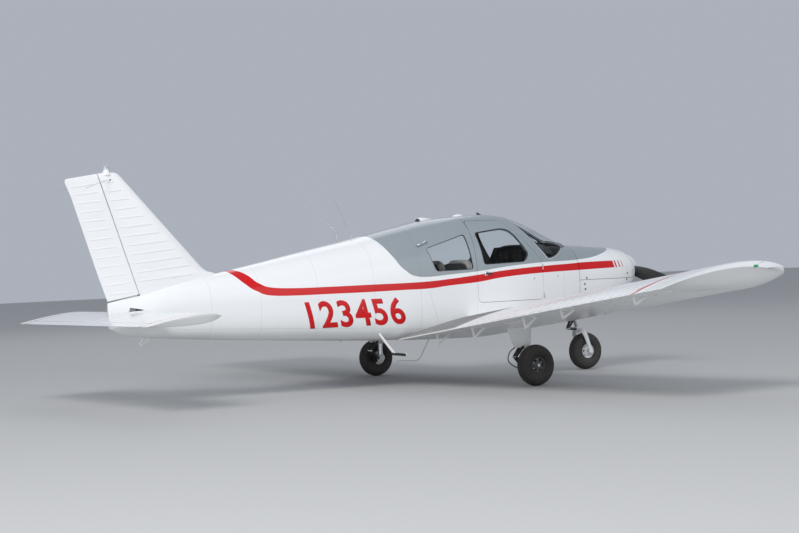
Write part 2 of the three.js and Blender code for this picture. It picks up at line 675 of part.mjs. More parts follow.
// Columns: height, leading edge, trailing edge
const fairingStations = [[390, -30, 160], [720, -60, 290]];
const fairingFoil = [[0, 0], [0.08, 0.6], [0.3, 1], [0.6, 0.75], [1, 0.1]];
function fairingRing(x, [z, leadY, trailY]) {
  const side = (sign) => fairingFoil.map(([t, out]) => [x + sign * 46 * out, leadY + t * (trailY - leadY), z]);
  return [...side(1), ...side(-1).slice(1).reverse()];
}
for (const [name, side] of [['left', 1], ['right', -1]]) {
  const x = side * (trackHalf - legInboard);
  const leg = union(
    bar([x, legY, 360], [x, legY, 700], 44, 12),
    solid(loft(fairingStations.map((row) => fairingRing(x, row)))),
    bar([x, legY, 235], [x, legY, 380], 28, 12),
    bar([x, legY, 165], [x, legY, 240], 36, 12),
    bar([x, 0, tyreRadius], [side * (trackHalf + 60), 0, tyreRadius], axleRadius, 24),
    bar([x, 0, tyreRadius], [x + side * 66, 0, tyreRadius], 40, 16),
    sidePlate([[30, 190], [70, 190], [170, 300], [150, 320], [30, 240]], 4, x - 14, x + 14),
    sidePlate([[150, 290], [172, 310], [80, 440], [30, 440], [30, 400]], 4, x - 14, x + 14));
  const trimmed = minus(leg, placed(
    loft(wingStations.map((row) => wingRing(...row))
      .map((points) => points.map(([a, b, c]) => [a, b, c - seatGap]))), wingPlace(side)));
  addPart(`main_leg_${name}`, largest(trimmed), white);
  wheel(`main_${name}`, [side * trackHalf, 0, tyreRadius]);
}

// Nose gear: the raked housing on the firewall, and the fork that steers in it
const noseRake = THREE.MathUtils.degToRad(20);
const noseLine = (along, aft = 0) => [
  0,
  noseWheelY + along * Math.sin(noseRake) + aft * Math.cos(noseRake),
  tyreRadius + along * Math.cos(noseRake) - aft * Math.sin(noseRake),
];
const crownAlong = 262;
addPart('nose_strut', union(
  bar(noseLine(430), noseLine(900), 42, 16),
  block([-60, -1600, 800], [60, firewallY - seatGap, 880])), white);
const forkBlade = (x) => union(
  bar([x, noseLine(0)[1], tyreRadius], [x, noseLine(crownAlong)[1], noseLine(crownAlong)[2]], 20, 8),
  bar([x - 12, noseWheelY, tyreRadius], [x + 12, noseWheelY, tyreRadius], 34, 12));
addPart('nose_fork', union(
  forkBlade(-104),
  forkBlade(104),
  bar([-118, ...noseLine(crownAlong).slice(1)], [118, ...noseLine(crownAlong).slice(1)], 26, 8),
  bar(noseLine(crownAlong), noseLine(429.7), 30, 12),
  bar([-110, noseWheelY, tyreRadius], [110, noseWheelY, tyreRadius], axleRadius, 24)), white);
wheel('nose', [0, noseWheelY, tyreRadius]);

// Cabin: two front seats, a rear bench and the instrument panel with its two control wheels
const seatTopZ = floorZ + 20 + seatGap;
function seat(x0, x1, y0, y1) {
  return union(
    block([x0, y0, seatTopZ], [x1, y1, seatTopZ + 260]),
    sidePlate([[y1 - 140, seatTopZ + 200], [y1, seatTopZ + 200], [y1 + 150, 1330], [y1 + 50, 1330]],
      0, x0, x1));
}
addPart('seat_left', seat(40, 490, -560, -60), cloth);
addPart('seat_right', seat(-490, -40, -560, -60), cloth);
addPart('rear_bench', seat(-480, 480, 420, 800).intersect(inside), cloth);
const panelBoard = inside.intersect(union(
  between([-far, -960, 1000], [far, -930, 1430]),
  between([-far, -1200, 1415], [far, -910, 1450])));
const yoke = (x) => union(
  bar([x, -940, 1130], [x, -865, 1130], 14, 12),
  block([x - 130, -872, 1118], [x + 130, -846, 1142]),
  block([x - 130, -872, 1118], [x - 106, -846, 1200]),
  block([x + 106, -872, 1118], [x + 130, -846, 1200]));
addPart('instrument_panel', union(panelBoard, yoke(-260), yoke(260)), dark);

// Roof vent, aerials, the boarding step and the tail tie-down
const onRoof = (body) => minus(body, outsideGrown);
addPart('roof_vent', onRoof(sidePlate(
  [[190, 1700], [365, 1700], [365, 1776], [330, 1780], [240, 1762]], 6, -60, 60)), white);
const whip = (points, radius) => union(
  ...points.slice(1).map((point, i) => bar(points[i], point, radius, 8)));
addPart('aerial_front', onRoof(whip([[0, 1160, 1500], [0, 1420, 2060]], 5)), steel);
addPart('aerial_rear', onRoof(whip([[0, 1370, 1450], [0, 1395, 1663], [0, 1760, 1928]], 5)), steel);
addPart('step', onRoof(union(
  bar([-380, 1180, 620], [-500, 1040, 361], 14, 12),
  bar([-500, 1045, 361], [-500, 900, 345], 14, 12))), dark);
addPart('tail_ring', minus(sidePlate(
  [[3560, 800], [3640, 800], [3700, 592], [3669, 580]], 0, -8, 8), fairingGrown), steel);

const middleY = (spinnerTipY + rudderTopAftY) / 2;
group.position.y = -middleY;

export default group;
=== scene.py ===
"""A low-wing light aircraft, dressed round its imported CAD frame."""
from contextlib import contextmanager
from math import cos, pi, radians, sin, tan

import bpy
import bmesh
import numpy as np
from mathutils import Matrix, Vector


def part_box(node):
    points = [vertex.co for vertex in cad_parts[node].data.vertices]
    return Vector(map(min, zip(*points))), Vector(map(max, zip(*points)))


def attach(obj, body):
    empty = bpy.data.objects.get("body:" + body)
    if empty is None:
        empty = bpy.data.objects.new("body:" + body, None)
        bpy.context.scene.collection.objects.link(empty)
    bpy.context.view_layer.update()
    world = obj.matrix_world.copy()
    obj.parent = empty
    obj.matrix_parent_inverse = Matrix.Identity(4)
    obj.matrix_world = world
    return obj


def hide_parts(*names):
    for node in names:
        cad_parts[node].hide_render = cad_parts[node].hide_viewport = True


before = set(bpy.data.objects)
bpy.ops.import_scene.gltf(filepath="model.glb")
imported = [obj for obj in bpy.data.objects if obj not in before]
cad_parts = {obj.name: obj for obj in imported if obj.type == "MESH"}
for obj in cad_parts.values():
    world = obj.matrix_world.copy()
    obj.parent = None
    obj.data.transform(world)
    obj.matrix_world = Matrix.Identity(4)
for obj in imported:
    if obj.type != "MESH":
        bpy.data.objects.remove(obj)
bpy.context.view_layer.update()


# Camera: it stands off the right wing tip, behind the aircraft, with a long lens. Its place and turn
# were solved from the wheels, the wing tip and the tail in the photograph.
wheel_low, wheel_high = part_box("main_left_rim")
axle_y = (wheel_low[1] + wheel_high[1]) / 2
axle = np.array([0, axle_y, 0])
camera_place = Vector(axle) + Vector((-16.245, 11.143, 1.357))
camera_yaw, camera_pitch, camera_roll = radians(122.95), radians(-0.29), radians(-2.21)
focal_pixels, photo_width = 1813.6, 799
sensor_width = 36.0
camera_data = bpy.data.cameras.new("camera")
camera_data.sensor_width = sensor_width
camera_data.lens = sensor_width * focal_pixels / photo_width
camera_data.clip_end = 200
camera = bpy.data.objects.new("camera", camera_data)
bpy.context.scene.collection.objects.link(camera)
forward = Vector((sin(camera_yaw), cos(camera_yaw), 0)) * cos(camera_pitch)
forward.z = sin(camera_pitch)
level = Vector((cos(camera_yaw), -sin(camera_yaw), 0))
upright = level.cross(forward)
camera_right = level * cos(camera_roll) + upright * sin(camera_roll)
camera_up = upright * cos(camera_roll) - level * sin(camera_roll)
camera_turn = Matrix((camera_right, camera_up, -forward)).transposed().to_4x4()
camera.matrix_world = Matrix.Translation(camera_place) @ camera_turn
bpy.context.scene.camera = camera


# Floor and light: a plain pale floor, one large soft key light from the camera's side, a wide fill,
# a weak light from behind, a low one for the undersides, and an even sky.
def new_material(name, colour=(0.8, 0.8, 0.8), roughness=0.5, metallic=0.0):
    """A material with one Principled shader, and that shader."""
    material = bpy.data.materials.new(name)
    material.use_nodes = True
    shader = material.node_tree.nodes["Principled BSDF"]
    shader.inputs["Base Color"].default_value = (*colour, 1)
    shader.inputs["Roughness"].default_value = roughness
    shader.inputs["Metallic"].default_value = metallic
    return material, shader


def new_mesh(name, points, faces, materials, smooth=True):
    """An object at the origin from an array of points and an array or list of faces."""
    mesh = bpy.data.meshes.new(name)
    mesh.from_pydata(np.asarray(points).reshape(-1, 3).tolist(), [], [list(map(int, f)) for f in faces])
    mesh.polygons.foreach_set("use_smooth", np.full(len(mesh.polygons), smooth))
    for material in materials:
        mesh.materials.append(material)
    mesh.update()
    made = bpy.data.objects.new(name, mesh)
    bpy.context.scene.collection.objects.link(made)
    return made


floor_half = 60
floor_material, _ = new_material("pale_floor", (0.50, 0.50, 0.49), 0.85)
floor_corners = np.array([(-1, -1, 0), (1, -1, 0), (1, 1, 0), (-1, 1, 0)]) * floor_half
floor = new_mesh("floor", floor_corners, [(0, 1, 2, 3)], [floor_material], smooth=False)
world = bpy.data.worlds.new("sky")
bpy.context.scene.world = world
world.use_nodes = True
world.node_tree.nodes["Background"].inputs["Color"].default_value = (0.82, 0.88, 1.0, 1)
world.node_tree.nodes["Background"].inputs["Strength"].default_value = 0.50
bpy.context.scene.view_settings.view_transform = "Standard"
for light_name, place, aim, size, watts in (
        ("key", (-14, 16, 16), (0, 1, 1), 9, 3350),
        ("fill", (-22, -8, 9), (0, -1, 1), 14, 700),
        ("back", (16, -6, 14), (0, 0, 1), 12, 450),
        ("low", (-16, 11, 2.4), (0, 1, 0.6), 8, 330)):
    light_data = bpy.data.lights.new(light_name, "AREA")
    light_data.size = size
    light_data.energy = watts
    light = bpy.data.objects.new(light_name, light_data)
    bpy.context.scene.collection.objects.link(light)
    place = Vector(place) + Vector(axle)
    light.matrix_world = (Matrix.Translation(place)
                          @ (Vector(aim) - place).to_track_quat("-Z", "Y").to_matrix().to_4x4())


# Paint: gloss two-pack on aluminium sheet. Each finish has faint orange peel, a slow change of
# tone, dust on the faces that look up and grime that creeps along the belly.
class Signal:
    """A number, colour or vector in a material's tree; sums on it add the nodes that work them out."""

    def __init__(self, tree, socket):
        self.tree, self.socket = tree, socket

    def math(self, operation, *others, clamp=False):
        """One Math node, with this value first."""
        node = self.tree.nodes.new("ShaderNodeMath")
        node.operation = operation
        node.use_clamp = clamp
        for value, socket in zip((self, *others), node.inputs):
            give(value, socket)
        return Signal(self.tree, node.outputs[0])

    def ramp(self, scale, offset=0.0):
        """This value times scale, plus offset, held between 0 and 1."""
        return self.math("MULTIPLY_ADD", scale, offset, clamp=True)

    def __add__(self, other):
        return self.math("ADD", other)

    def __sub__(self, other):
        return self.math("SUBTRACT", other)

    def __rsub__(self, other):
        return self.math("MULTIPLY_ADD", -1, other)

    def __mul__(self, other):
        return self.math("MULTIPLY", other)

    def __abs__(self):
        return self.math("ABSOLUTE")


def give(value, socket):
    """Puts a value on a socket: a signal by a link, a number or a colour as it is."""
    if isinstance(value, Signal):
        value.tree.links.new(value.socket, socket)
    else:
        socket.default_value = (*value, 1) if isinstance(value, tuple) else value


def node_signal(tree, kind, output=0, **inputs):
    """The output of a new node with the given inputs."""
    node = tree.nodes.new("ShaderNode" + kind)
    for name, value in inputs.items():
        give(value, node.inputs[name])
    return Signal(tree, node.outputs[output])


def spot_in(tree):
    """The place on the object."""
    return node_signal(tree, "TexCoord", "Object")


def parts(vector):
    """The three numbers of a vector."""
    return [Signal(vector.tree, socket)
            for socket in node_signal(vector.tree, "SeparateXYZ", Vector=vector).socket.node.outputs]


def noise(spot, scale, detail=3.0):
    """Noise from 0 to 1 at so many cells a metre."""
    return node_signal(spot.tree, "TexNoise", Vector=spot, Scale=scale, Detail=detail)


def mix_colour(share, a, b):
    """Colour a where share is 0 and b where it is 1."""
    node = share.tree.nodes.new("ShaderNodeMix")
    node.data_type = "RGBA"
    for value, socket in ((share, 0), (a, 6), (b, 7)):
        give(value, node.inputs[socket])
    return Signal(share.tree, node.outputs[2])


def new_group(name, inputs, outputs):
    """A shader node group: its tree, its inputs as signals by name, and its output node."""
    group = bpy.data.node_groups.new(name, "ShaderNodeTree")
    for socket_name, value in inputs.items():
        kind = "NodeSocketColor" if isinstance(value, tuple) else "NodeSocketFloat"
        give(value, group.interface.new_socket(socket_name, in_out="INPUT", socket_type=kind))
    for socket_name in outputs:
        kind = "NodeSocketColor" if socket_name == "Colour" else "NodeSocketFloat"
        group.interface.new_socket(socket_name, in_out="OUTPUT", socket_type=kind)
    given = {socket.name: Signal(group, socket) for socket in group.nodes.new("NodeGroupInput").outputs[:-1]}
    return group, given, group.nodes.new("NodeGroupOutput")


def use_group(tree, group, values):
    """The outputs of a group with the given inputs."""
    node = tree.nodes.new("ShaderNodeGroup")
    node.node_tree = group
    for name, value in values.items():
        give(value, node.inputs[name])
    return [Signal(tree, socket) for socket in node.outputs]


weathering, given, result = new_group(
    "weathering", {"Colour": (0.8, 0.8, 0.8), "Dust": 0.08, "Grime": 0.15, "Roughness": 0.25},
    ("Colour", "Roughness", "Height"))
spot = spot_in(weathering)
face_z = parts(node_signal(weathering, "NewGeometry", "Normal"))[2]
broad, fine, waves = noise(spot, 1.7, 4), noise(spot, 38, 5), noise(spot, 1.3, 0)
dust = (fine * broad * face_z.ramp(0.5, 0.5)).math("MULTIPLY", given["Dust"], clamp=True)
grime = (broad.ramp(2.5, -1.0) * face_z.ramp(-0.7, 0.05)).math("MULTIPLY", given["Grime"], clamp=True)
dust_colour, grime_colour = (0.42, 0.38, 0.32), (0.11, 0.10, 0.09)
aged = mix_colour(dust, given["Colour"], dust_colour)
give(mix_colour(grime, aged, grime_colour), result.inputs["Colour"])
give(given["Roughness"] + (broad * 0.05 + dust * 0.6), result.inputs["Roughness"])
give(waves + fine * 0.012, result.inputs["Height"])


def weathered(shader, colour, roughness, dust, grime, peel, relief=None, coat=None, specular=0.5):
    """Sends a colour and roughness through the weathering group into a shader, with its bump of so
    many metres, and lays a clear coat over it."""
    tree = shader.id_data
    aged, rough, height = use_group(
        tree, weathering, {"Colour": colour, "Dust": dust, "Grime": grime, "Roughness": roughness})
    if relief is not None:
        height = height + relief
    give(aged, shader.inputs["Base Color"])
    give(rough, shader.inputs["Roughness"])
    bump = node_signal(tree, "Bump", "Normal", Strength=1.0, Distance=peel, Height=height)
    give(bump, shader.inputs["Normal"])
    shader.inputs["Specular IOR Level"].default_value = specular
    if coat is not None:
        give(coat, shader.inputs["Coat Weight"])
        shader.inputs["Coat Roughness"].default_value = 0.08


def plain(name, colour, roughness, dust, grime, peel, metallic=0.0, coat=None, specular=0.5):
    """A material of one weathered colour."""
    material, shader = new_material(name, metallic=metallic)
    weathered(shader, colour, roughness, dust, grime, peel, coat=coat, specular=specular)
    return material


white_colour, paint_coat = (0.86, 0.87, 0.87), 0.2
white_paint = plain("white_paint", white_colour, 0.2, 0.04, 0.12, 0.0008, coat=paint_coat)


# Fuselage skin: aluminium sheet riveted over frames, from the firewall to the rear bulkhead, with
# cut-outs for the windows, the windscreen and the one door, on the right.
def fit(made, body, slot_name, *nodes):
    """Puts a piece on a body and hides the nodes that it replaces; its slot name is not used."""
    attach(made, body)
    if nodes:
        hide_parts(*nodes)


def hermite(at, knots, values):
    """Smooth curve through the values: a cubic on each span with the neighbours' mean slope."""
    slopes = np.gradient(values, knots, axis=0)
    k = np.clip(np.searchsorted(knots, at, side="right") - 1, 0, len(knots) - 2)
    span = knots[k + 1] - knots[k]
    t = (at - knots[k]) / span
    shape = t.shape + (1,) * (values.ndim - 1)
    t, span = t.reshape(shape), span.reshape(shape)
    return ((2 * t ** 3 - 3 * t ** 2 + 1) * values[k] + (t ** 3 - 2 * t ** 2 + t) * span * slopes[k]
            + (3 * t ** 2 - 2 * t ** 3) * values[k + 1] + (t ** 3 - t ** 2) * span * slopes[k + 1])


def table_at(at, table):
    """A table's later columns where its first is at, along smooth curves."""
    return np.moveaxis(hermite(at, table[:, 0], table[:, 1:]), -1, 0)


def hull(y, turn, table):
    """Point of a hull: at a station the section is two half super-ellipses that meet at the waist,
    |x/half width|^p + |(z - waist)/reach|^p = 1, reached along the direction turn."""
    half, bottom, waist, top, low, high = table_at(y, table)
    c, s = np.cos(turn), np.sin(turn)
    power = np.where(s > 0, high, low)
    reach = np.where(s > 0, top - waist, waist - bottom)
    size = (np.abs(c) ** power + np.abs(s) ** power) ** (1 / power)
    return np.stack([half * c / size, y + axle_y, waist + reach * s / size], -1)


# Columns: distance aft of the main axle, half width, bottom, waist, top, power below and above
cabin_table = np.array([
    [-1.400, 0.538, 0.627, 1.040, 1.434, 3.7, 2.9],
    [-1.270, 0.547, 0.592, 1.040, 1.498, 4.0, 2.8],
    [-1.100, 0.553, 0.560, 1.040, 1.585, 4.2, 2.7],
    [-0.900, 0.558, 0.525, 1.030, 1.682, 4.6, 2.7],
    [-0.750, 0.560, 0.505, 1.020, 1.738, 4.8, 2.7],
    [-0.554, 0.560, 0.490, 1.010, 1.778, 5.0, 2.7],
    [-0.100, 0.560, 0.482, 1.000, 1.778, 5.0, 2.7],
    [0.314, 0.556, 0.482, 1.000, 1.745, 4.8, 2.6],
    [0.760, 0.528, 0.488, 0.990, 1.660, 4.4, 2.5],
    [1.230, 0.478, 0.505, 0.980, 1.560, 4.0, 2.4],
    [1.800, 0.405, 0.535, 0.970, 1.455, 3.4, 2.3],
])
cone_table = np.array([
    [0.760, 0.528, 0.488, 0.990, 1.660, 4.4, 2.5],
    [1.230, 0.478, 0.505, 0.980, 1.560, 4.0, 2.4],
    [1.800, 0.405, 0.535, 0.970, 1.455, 3.4, 2.3],
    [2.400, 0.318, 0.572, 0.950, 1.340, 3.0, 2.2],
    [2.950, 0.228, 0.610, 0.930, 1.240, 2.7, 2.2],
    [3.350, 0.158, 0.642, 0.915, 1.165, 2.6, 2.2],
    [3.660, 0.095, 0.674, 0.895, 1.084, 2.5, 2.2],
    [3.850, 0.052, 0.712, 0.880, 1.048, 2.4, 2.2],
    [3.990, 0.022, 0.770, 0.875, 1.020, 2.2, 2.2],
])


def from_axle(points):
    """Places across, aft of the main axle and up."""
    return points[..., 0], points[..., 1] - axle_y, points[..., 2]


def rounded(y, z, corners, radius):
    """Signed distance, negative inside, to an outline in side view whose corners are rounded."""
    corners = np.array(corners)
    mean = corners.mean(0)
    onward = np.roll(corners, -1, 0) - corners
    length = np.hypot(*onward.T)
    normal = np.stack([onward[:, 1], -onward[:, 0]], 1) / length[:, None]
    if ((corners - mean) * normal).sum() < 0:
        normal = -normal
    away = [(y - a[0]) * n[0] + (z - a[1]) * n[1] + radius for a, n in zip(corners, normal)]
    return soft_max(away, radius) - radius


def soft_max(parts, radius):
    """Largest of several distances, rounded where two of them are positive: their root of squares."""
    parts = np.stack(parts)
    outside = np.sqrt((np.maximum(parts, 0) ** 2).sum(0))
    return np.where(parts.max(0) > 0, outside, parts.max(0))


front_window = [(-0.650, 1.256), (-0.105, 1.243), (-0.062, 1.590), (-0.455, 1.634), (-0.555, 1.590),
                (-0.712, 1.345)]
rear_window = [(0.035, 1.200), (0.505, 1.192), (0.585, 1.440), (0.075, 1.580)]
door_outline = [(-0.880, 0.845), (-0.008, 0.845), (-0.008, 1.720), (-0.500, 1.720), (-0.575, 1.640),
                (-0.880, 1.255)]


def outline(points, corners, radius):
    """Distance from points on the skin to an outline that is given from the main axle."""
    _, y, z = from_axle(points)
    return rounded(y, z, corners, radius)


def windscreen(points):
    """Distance to the windscreen's two panes: their side outline, but not the centre post."""
    x, y, z = from_axle(points)
    # The outline is hollow at its lower corner, so it is the union of two convex ones that overlap
    rear, radius = [(-0.640, 1.690), (-0.640, 1.75)], 0.02
    front = rounded(y, z, [(-1.310, 1.400), (-1.210, 1.392), *rear, (-1.310, 1.75)], radius)
    low = [(-1.215, 1.393), (-1.085, 1.305), (-0.975, 1.280)]
    corner = rounded(y, z, [*low, *rear, (-1.215, 1.75)], radius)
    return np.maximum(np.minimum(front, corner), 0.022 - np.abs(x))


def on_right(points, distance):
    """Keeps a distance on the right side only."""
    return np.where(points[..., 0] < 0, distance, 1.0)


def grid(first, second):
    """Two parameters over a grid."""
    return np.meshgrid(first, second, indexing="ij")


def skin(name, surface, u, v, region, materials, thickness=0.0):
    """A sheet over surface(u, v): grid points near the region's edge are drawn onto it along the
    gradient of its distance, each cell near it is split along the edge, and the triangles inside it,
    where the distance is negative, stay."""
    u, v = grid(u, v)
    step_u, step_v = abs(u[1, 0] - u[0, 0]), abs(v[0, 1] - v[0, 0])
    tiny = 1e-4
    drawn = None
    for _ in range(4):
        points = surface(u, v)
        distance = region(points)
        along = (surface(u + tiny, v) - points) / tiny
        across = (surface(u, v + tiny) - points) / tiny
        scale_u = np.linalg.norm(along, axis=-1)
        scale_v = np.linalg.norm(across, axis=-1)
        slope_u = (region(points + along * tiny) - distance) / tiny / scale_u
        slope_v = (region(points + across * tiny) - distance) / tiny / scale_v
        steep = slope_u ** 2 + slope_v ** 2 + 1e-6
        reach = 0.55 * np.maximum(step_u * scale_u, step_v * scale_v)
        if drawn is None:
            drawn = np.abs(distance) < reach
        move = np.where(drawn, distance / steep, 0)
        u = u - np.clip(move * slope_u / scale_u, -0.6 * step_u, 0.6 * step_u)
        v = v - np.clip(move * slope_v / scale_v, -0.6 * step_v, 0.6 * step_v)
    points = surface(u, v)
    rows, columns = u.shape
    index = np.arange(rows * columns).reshape(rows, columns)
    a, b, c, d = index[:-1, :-1], index[1:, :-1], index[1:, 1:], index[:-1, 1:]
    distance = region(points)
    falling = np.abs(distance[:-1, :-1] - distance[1:, 1:])
    rising = np.abs(distance[1:, :-1] - distance[:-1, 1:])
    other = (falling > rising + 1e-4) & (np.abs(distance[:-1, :-1]) < 0.04)
    triangles = np.concatenate([np.stack([a, b, np.where(other, d, c)], -1).reshape(-1, 3),
                                np.stack([np.where(other, b, a), c, d], -1).reshape(-1, 3)])
    flat = points.reshape(-1, 3)
    middle = flat[triangles].mean(1)
    triangles = triangles[region(middle) < -0.0005]
    used, triangles = np.unique(triangles, return_inverse=True)
    made = new_mesh(name, flat[used], triangles.reshape(-1, 3), materials)
    tidy_mesh(made)
    if thickness:
        wall = walled(made, thickness)
        wall.use_quality_normals = True
        if len(materials) > 1:
            wall.material_offset = 1
    return made


@contextmanager
def edited(mesh):
    """A mesh opened for work on its points, edges and faces, and closed again."""
    work = bmesh.new()
    work.from_mesh(mesh)
    yield work
    work.to_mesh(mesh)
    work.free()


def walled(made, thickness, offset=-1):
    """Gives a sheet its thickness, inward from the points or to both sides of them."""
    wall = made.modifiers.new("wall", "SOLIDIFY")
    wall.thickness = thickness
    wall.offset = offset
    return wall


def tidy_mesh(made):
    """Welds doubled points, so that seams and poles close, drops faces with no area, and keeps the
    skin's shading apart from that of the wall at its open edges."""
    with edited(made.data) as work:
        bmesh.ops.remove_doubles(work, verts=work.verts, dist=2e-4)
        bmesh.ops.dissolve_degenerate(work, edges=work.edges, dist=1e-5)
        for seam in work.edges:
            if seam.is_boundary:
                seam.smooth = False


def curve(value, points, low, high):
    """A curve of one value against another, between the corners low and high of its own box."""
    node = value.tree.nodes.new("ShaderNodeFloatCurve")
    line = node.mapping.curves[0]
    points = (np.array(points) - low) / (np.array(high) - low)
    line.points[0].location = points[0]
    line.points[-1].location = points[-1]
    for point in points[1:-1]:
        line.points.new(*point)
    node.mapping.update()
    give((value - low[0]) * (1 / (high[0] - low[0])), node.inputs["Value"])
    return Signal(value.tree, node.outputs[0]) * (high[1] - low[1]) + low[1]


# The grey top's lower edge and the stripe's two edges: distance aft of the main axle, and height
grey_edge = [(-2.20, 1.41), (-2.054, 1.369), (-1.83, 1.316), (-1.614, 1.275), (-1.36, 1.255), (-0.86, 1.243),
             (-0.40, 1.215), (0.0, 1.176), (0.34, 1.157), (0.63, 1.142), (0.73, 1.150), (0.86, 1.215),
             (0.975, 1.364), (1.04, 1.479), (1.09, 1.60), (1.13, 1.75)]
stripe_top = [(-2.30, 1.226), (-1.47, 1.225), (-1.33, 1.219), (-0.865, 1.202), (-0.385, 1.176), (0.01, 1.138),
              (0.35, 1.110), (0.65, 1.093), (1.27, 1.088), (1.74, 1.086), (2.11, 1.088), (2.32, 1.101),
              (2.46, 1.147), (2.55, 1.232), (2.61, 1.278), (2.72, 1.33)]
stripe_bottom = [(-2.30, 1.160), (-1.36, 1.141), (-0.875, 1.131), (-0.38, 1.105), (0.01, 1.062),
                 (0.35, 1.041), (0.64, 1.019), (0.95, 1.017), (1.27, 1.013), (1.74, 1.013), (2.11, 1.013),
                 (2.33, 1.021), (2.50, 1.072), (2.61, 1.150), (2.67, 1.215), (2.72, 1.28)]
grey_colour = (0.29, 0.33, 0.35)
red_colour, red_specular = (0.62, 0.002, 0.004), 0.35


def edge(distance, softness=0.0015):
    """1 where a distance is positive and 0 where it is negative, with a crisp edge."""
    return distance.ramp(1 / softness, 0.5)


def most(a, b):
    """The larger of two values."""
    return a.math("MAXIMUM", b)


# Rivets: flush heads in a row, as a mask of round dots. Distance is measured from the row, Along is
# measured on it, and the heads stand a pitch apart.
riveting, given, result = new_group("rivet_row", {"Distance": 1.0, "Along": 0.0, "Pitch": 0.028}, ("Mask",))
rivet_radius, rivet_edge = 0.0034, 0.0012
nearest = given["Along"].math("PINGPONG", given["Pitch"] * 0.5)
square = nearest * nearest + given["Distance"] * given["Distance"]
give((rivet_radius - square.math("SQRT")).ramp(1 / rivet_edge), result.inputs["Mask"])


def rivets(distance, along):
    """The mask of one row of rivets."""
    return use_group(along.tree, riveting, {"Distance": distance, "Along": along})[0]


body_paint, shader = new_material("body_paint")
across, aft, height = parts(spot_in(shader.id_data))
aft = aft - axle_y
grey = edge(height - curve(aft, grey_edge, (-2.2, 1.1), (1.13, 1.75))) * edge(1.13 - aft) * edge(aft + 2.2)
stripe_box = ((-2.3, 1.0), (2.72, 1.4))
under_top = edge(curve(aft, stripe_top, *stripe_box) - height)
band = under_top * edge(height - curve(aft, stripe_bottom, *stripe_box))
# The stripe's front end slants, and three thinning bars stand ahead of it
slant = aft - (height - 1.16) * 0.16
solid = edge(slant + 1.94)
for bar_front, bar_width in ((-1.985, 0.024), (-2.040, 0.017), (-2.090, 0.011)):
    solid = most(solid, edge(slant - bar_front) * edge(bar_front + bar_width - slant))
band = band * edge(2.72 - aft) * solid
# Frames are riveted round the hull at even steps and stringers along it, aft of the cowl
frame_pitch = 0.305
heads = rivets((aft + 1.375).math("PINGPONG", frame_pitch), height + abs(across))
for stringer in (0.700, 0.960, 1.290):
    heads = most(heads, rivets(height - stringer, aft))
heads = heads * edge(aft + 1.385)
# Lap joints of the sheets, as fine dark lines between two places in side view: half width, depth
laps = heads * 0.16
for first, last, half, depth in (
        ((-0.010, 1.640), (-0.010, 1.790), 0.0028, 0.85), ((0.700, 0.60), (0.700, 1.68), 0.0014, 0.35),
        ((0.603, 1.000), (0.494, 0.633), 0.0016, 0.35), ((0.540, 0.593), (1.170, 0.627), 0.0016, 0.35),
        ((-1.170, 0.600), (-1.170, 1.240), 0.0014, 0.30), ((0.010, 0.500), (0.010, 1.190), 0.0014, 0.30),
        ((1.234, 0.45), (1.234, 1.62), 0.0014, 0.30), ((1.860, 0.50), (1.860, 1.46), 0.0014, 0.30),
        ((2.470, 0.52), (2.470, 1.34), 0.0014, 0.30), ((2.980, 0.58), (2.980, 1.24), 0.0014, 0.30),
        ((1.240, 0.640), (3.340, 0.735), 0.0014, 0.30)):
    length = float(np.hypot(last[0] - first[0], last[1] - first[1]))
    run_y, run_z = (last[0] - first[0]) / length, (last[1] - first[1]) / length
    from_y, from_z = aft - first[0], height - first[1]
    off = from_y * run_z - from_z * run_y
    along = from_y * run_y + from_z * run_z
    within = edge(length / 2 - abs(along - length / 2))
    laps = most(laps, edge(half - abs(off)) * within * depth)
lap_colour = (0.05, 0.05, 0.055)
painted = mix_colour(band, mix_colour(grey, white_colour, grey_colour), red_colour)
painted = mix_colour(laps, painted, lap_colour)
weathered(shader, painted, 0.2, 0.04, 0.12, 0.0008, heads * 0.5, paint_coat, red_specular)
lining = plain("cabin_lining", (0.05, 0.052, 0.058), 0.7, 0.2, 0.1, 0.002)

sheet_thickness = 0.022
door_gap, door_corner = 0.0028, 0.055
cabin_rows = np.linspace(-1.397, 1.2312, 174)
around = np.linspace(0, 2 * pi, 241)


def cabin_surface(y, turn):
    """The cabin's part of the hull."""
    return hull(y, turn, cabin_table)


def cabin_region(points):
    """The fuselage skin less its windows, windscreen and doorway."""
    doorway = on_right(points, outline(points, door_outline, door_corner) - door_gap)
    front = np.where(points[..., 0] > 0, outline(points, front_window, 0.03), 1.0)
    return -np.min([doorway, windscreen(points), outline(points, rear_window, 0.03), front], axis=0)


fuselage = skin("fuselage_skin", cabin_surface, cabin_rows, around, cabin_region, [body_paint, lining],
                sheet_thickness)
fit(fuselage, "airframe", "body_paint", "cabin_top", "side_left", "side_right", "belly")


# Door: one pressed skin with its own frame, hinged at its front edge on two outside knuckles.
def door_region(points):
    """The door's outline less its window, on the right side."""
    inside = outline(points, door_outline, door_corner) + door_gap * 0.5
    return np.maximum(on_right(points, inside), -outline(points, front_window, 0.03))


door_rows = np.arange(-0.90, 0.01, 0.0125)
right_side = np.linspace(pi * 0.60, pi * 1.32, 150)
door = skin("door_skin", cabin_surface, door_rows, right_side, door_region, [body_paint, lining], 0.03)
fit(door, "cabin_door", "body_paint", "door")

# Windows and windscreen: clear acrylic sheets, blown to the skin's curve and set in a dark gasket.
glazing, shader = new_material("clear_acrylic", (0.93, 0.96, 0.96), 0.03)
shader.inputs["Transmission Weight"].default_value = 1.0
shader.inputs["IOR"].default_value = 1.12
give(noise(spot_in(shader.id_data), 14) * 0.04 + 0.015, shader.inputs["Roughness"])
gasket = plain("window_gasket", (0.02, 0.02, 0.022), 0.5, 0.25, 0.0, 0.001)
glass_depth = 0.006


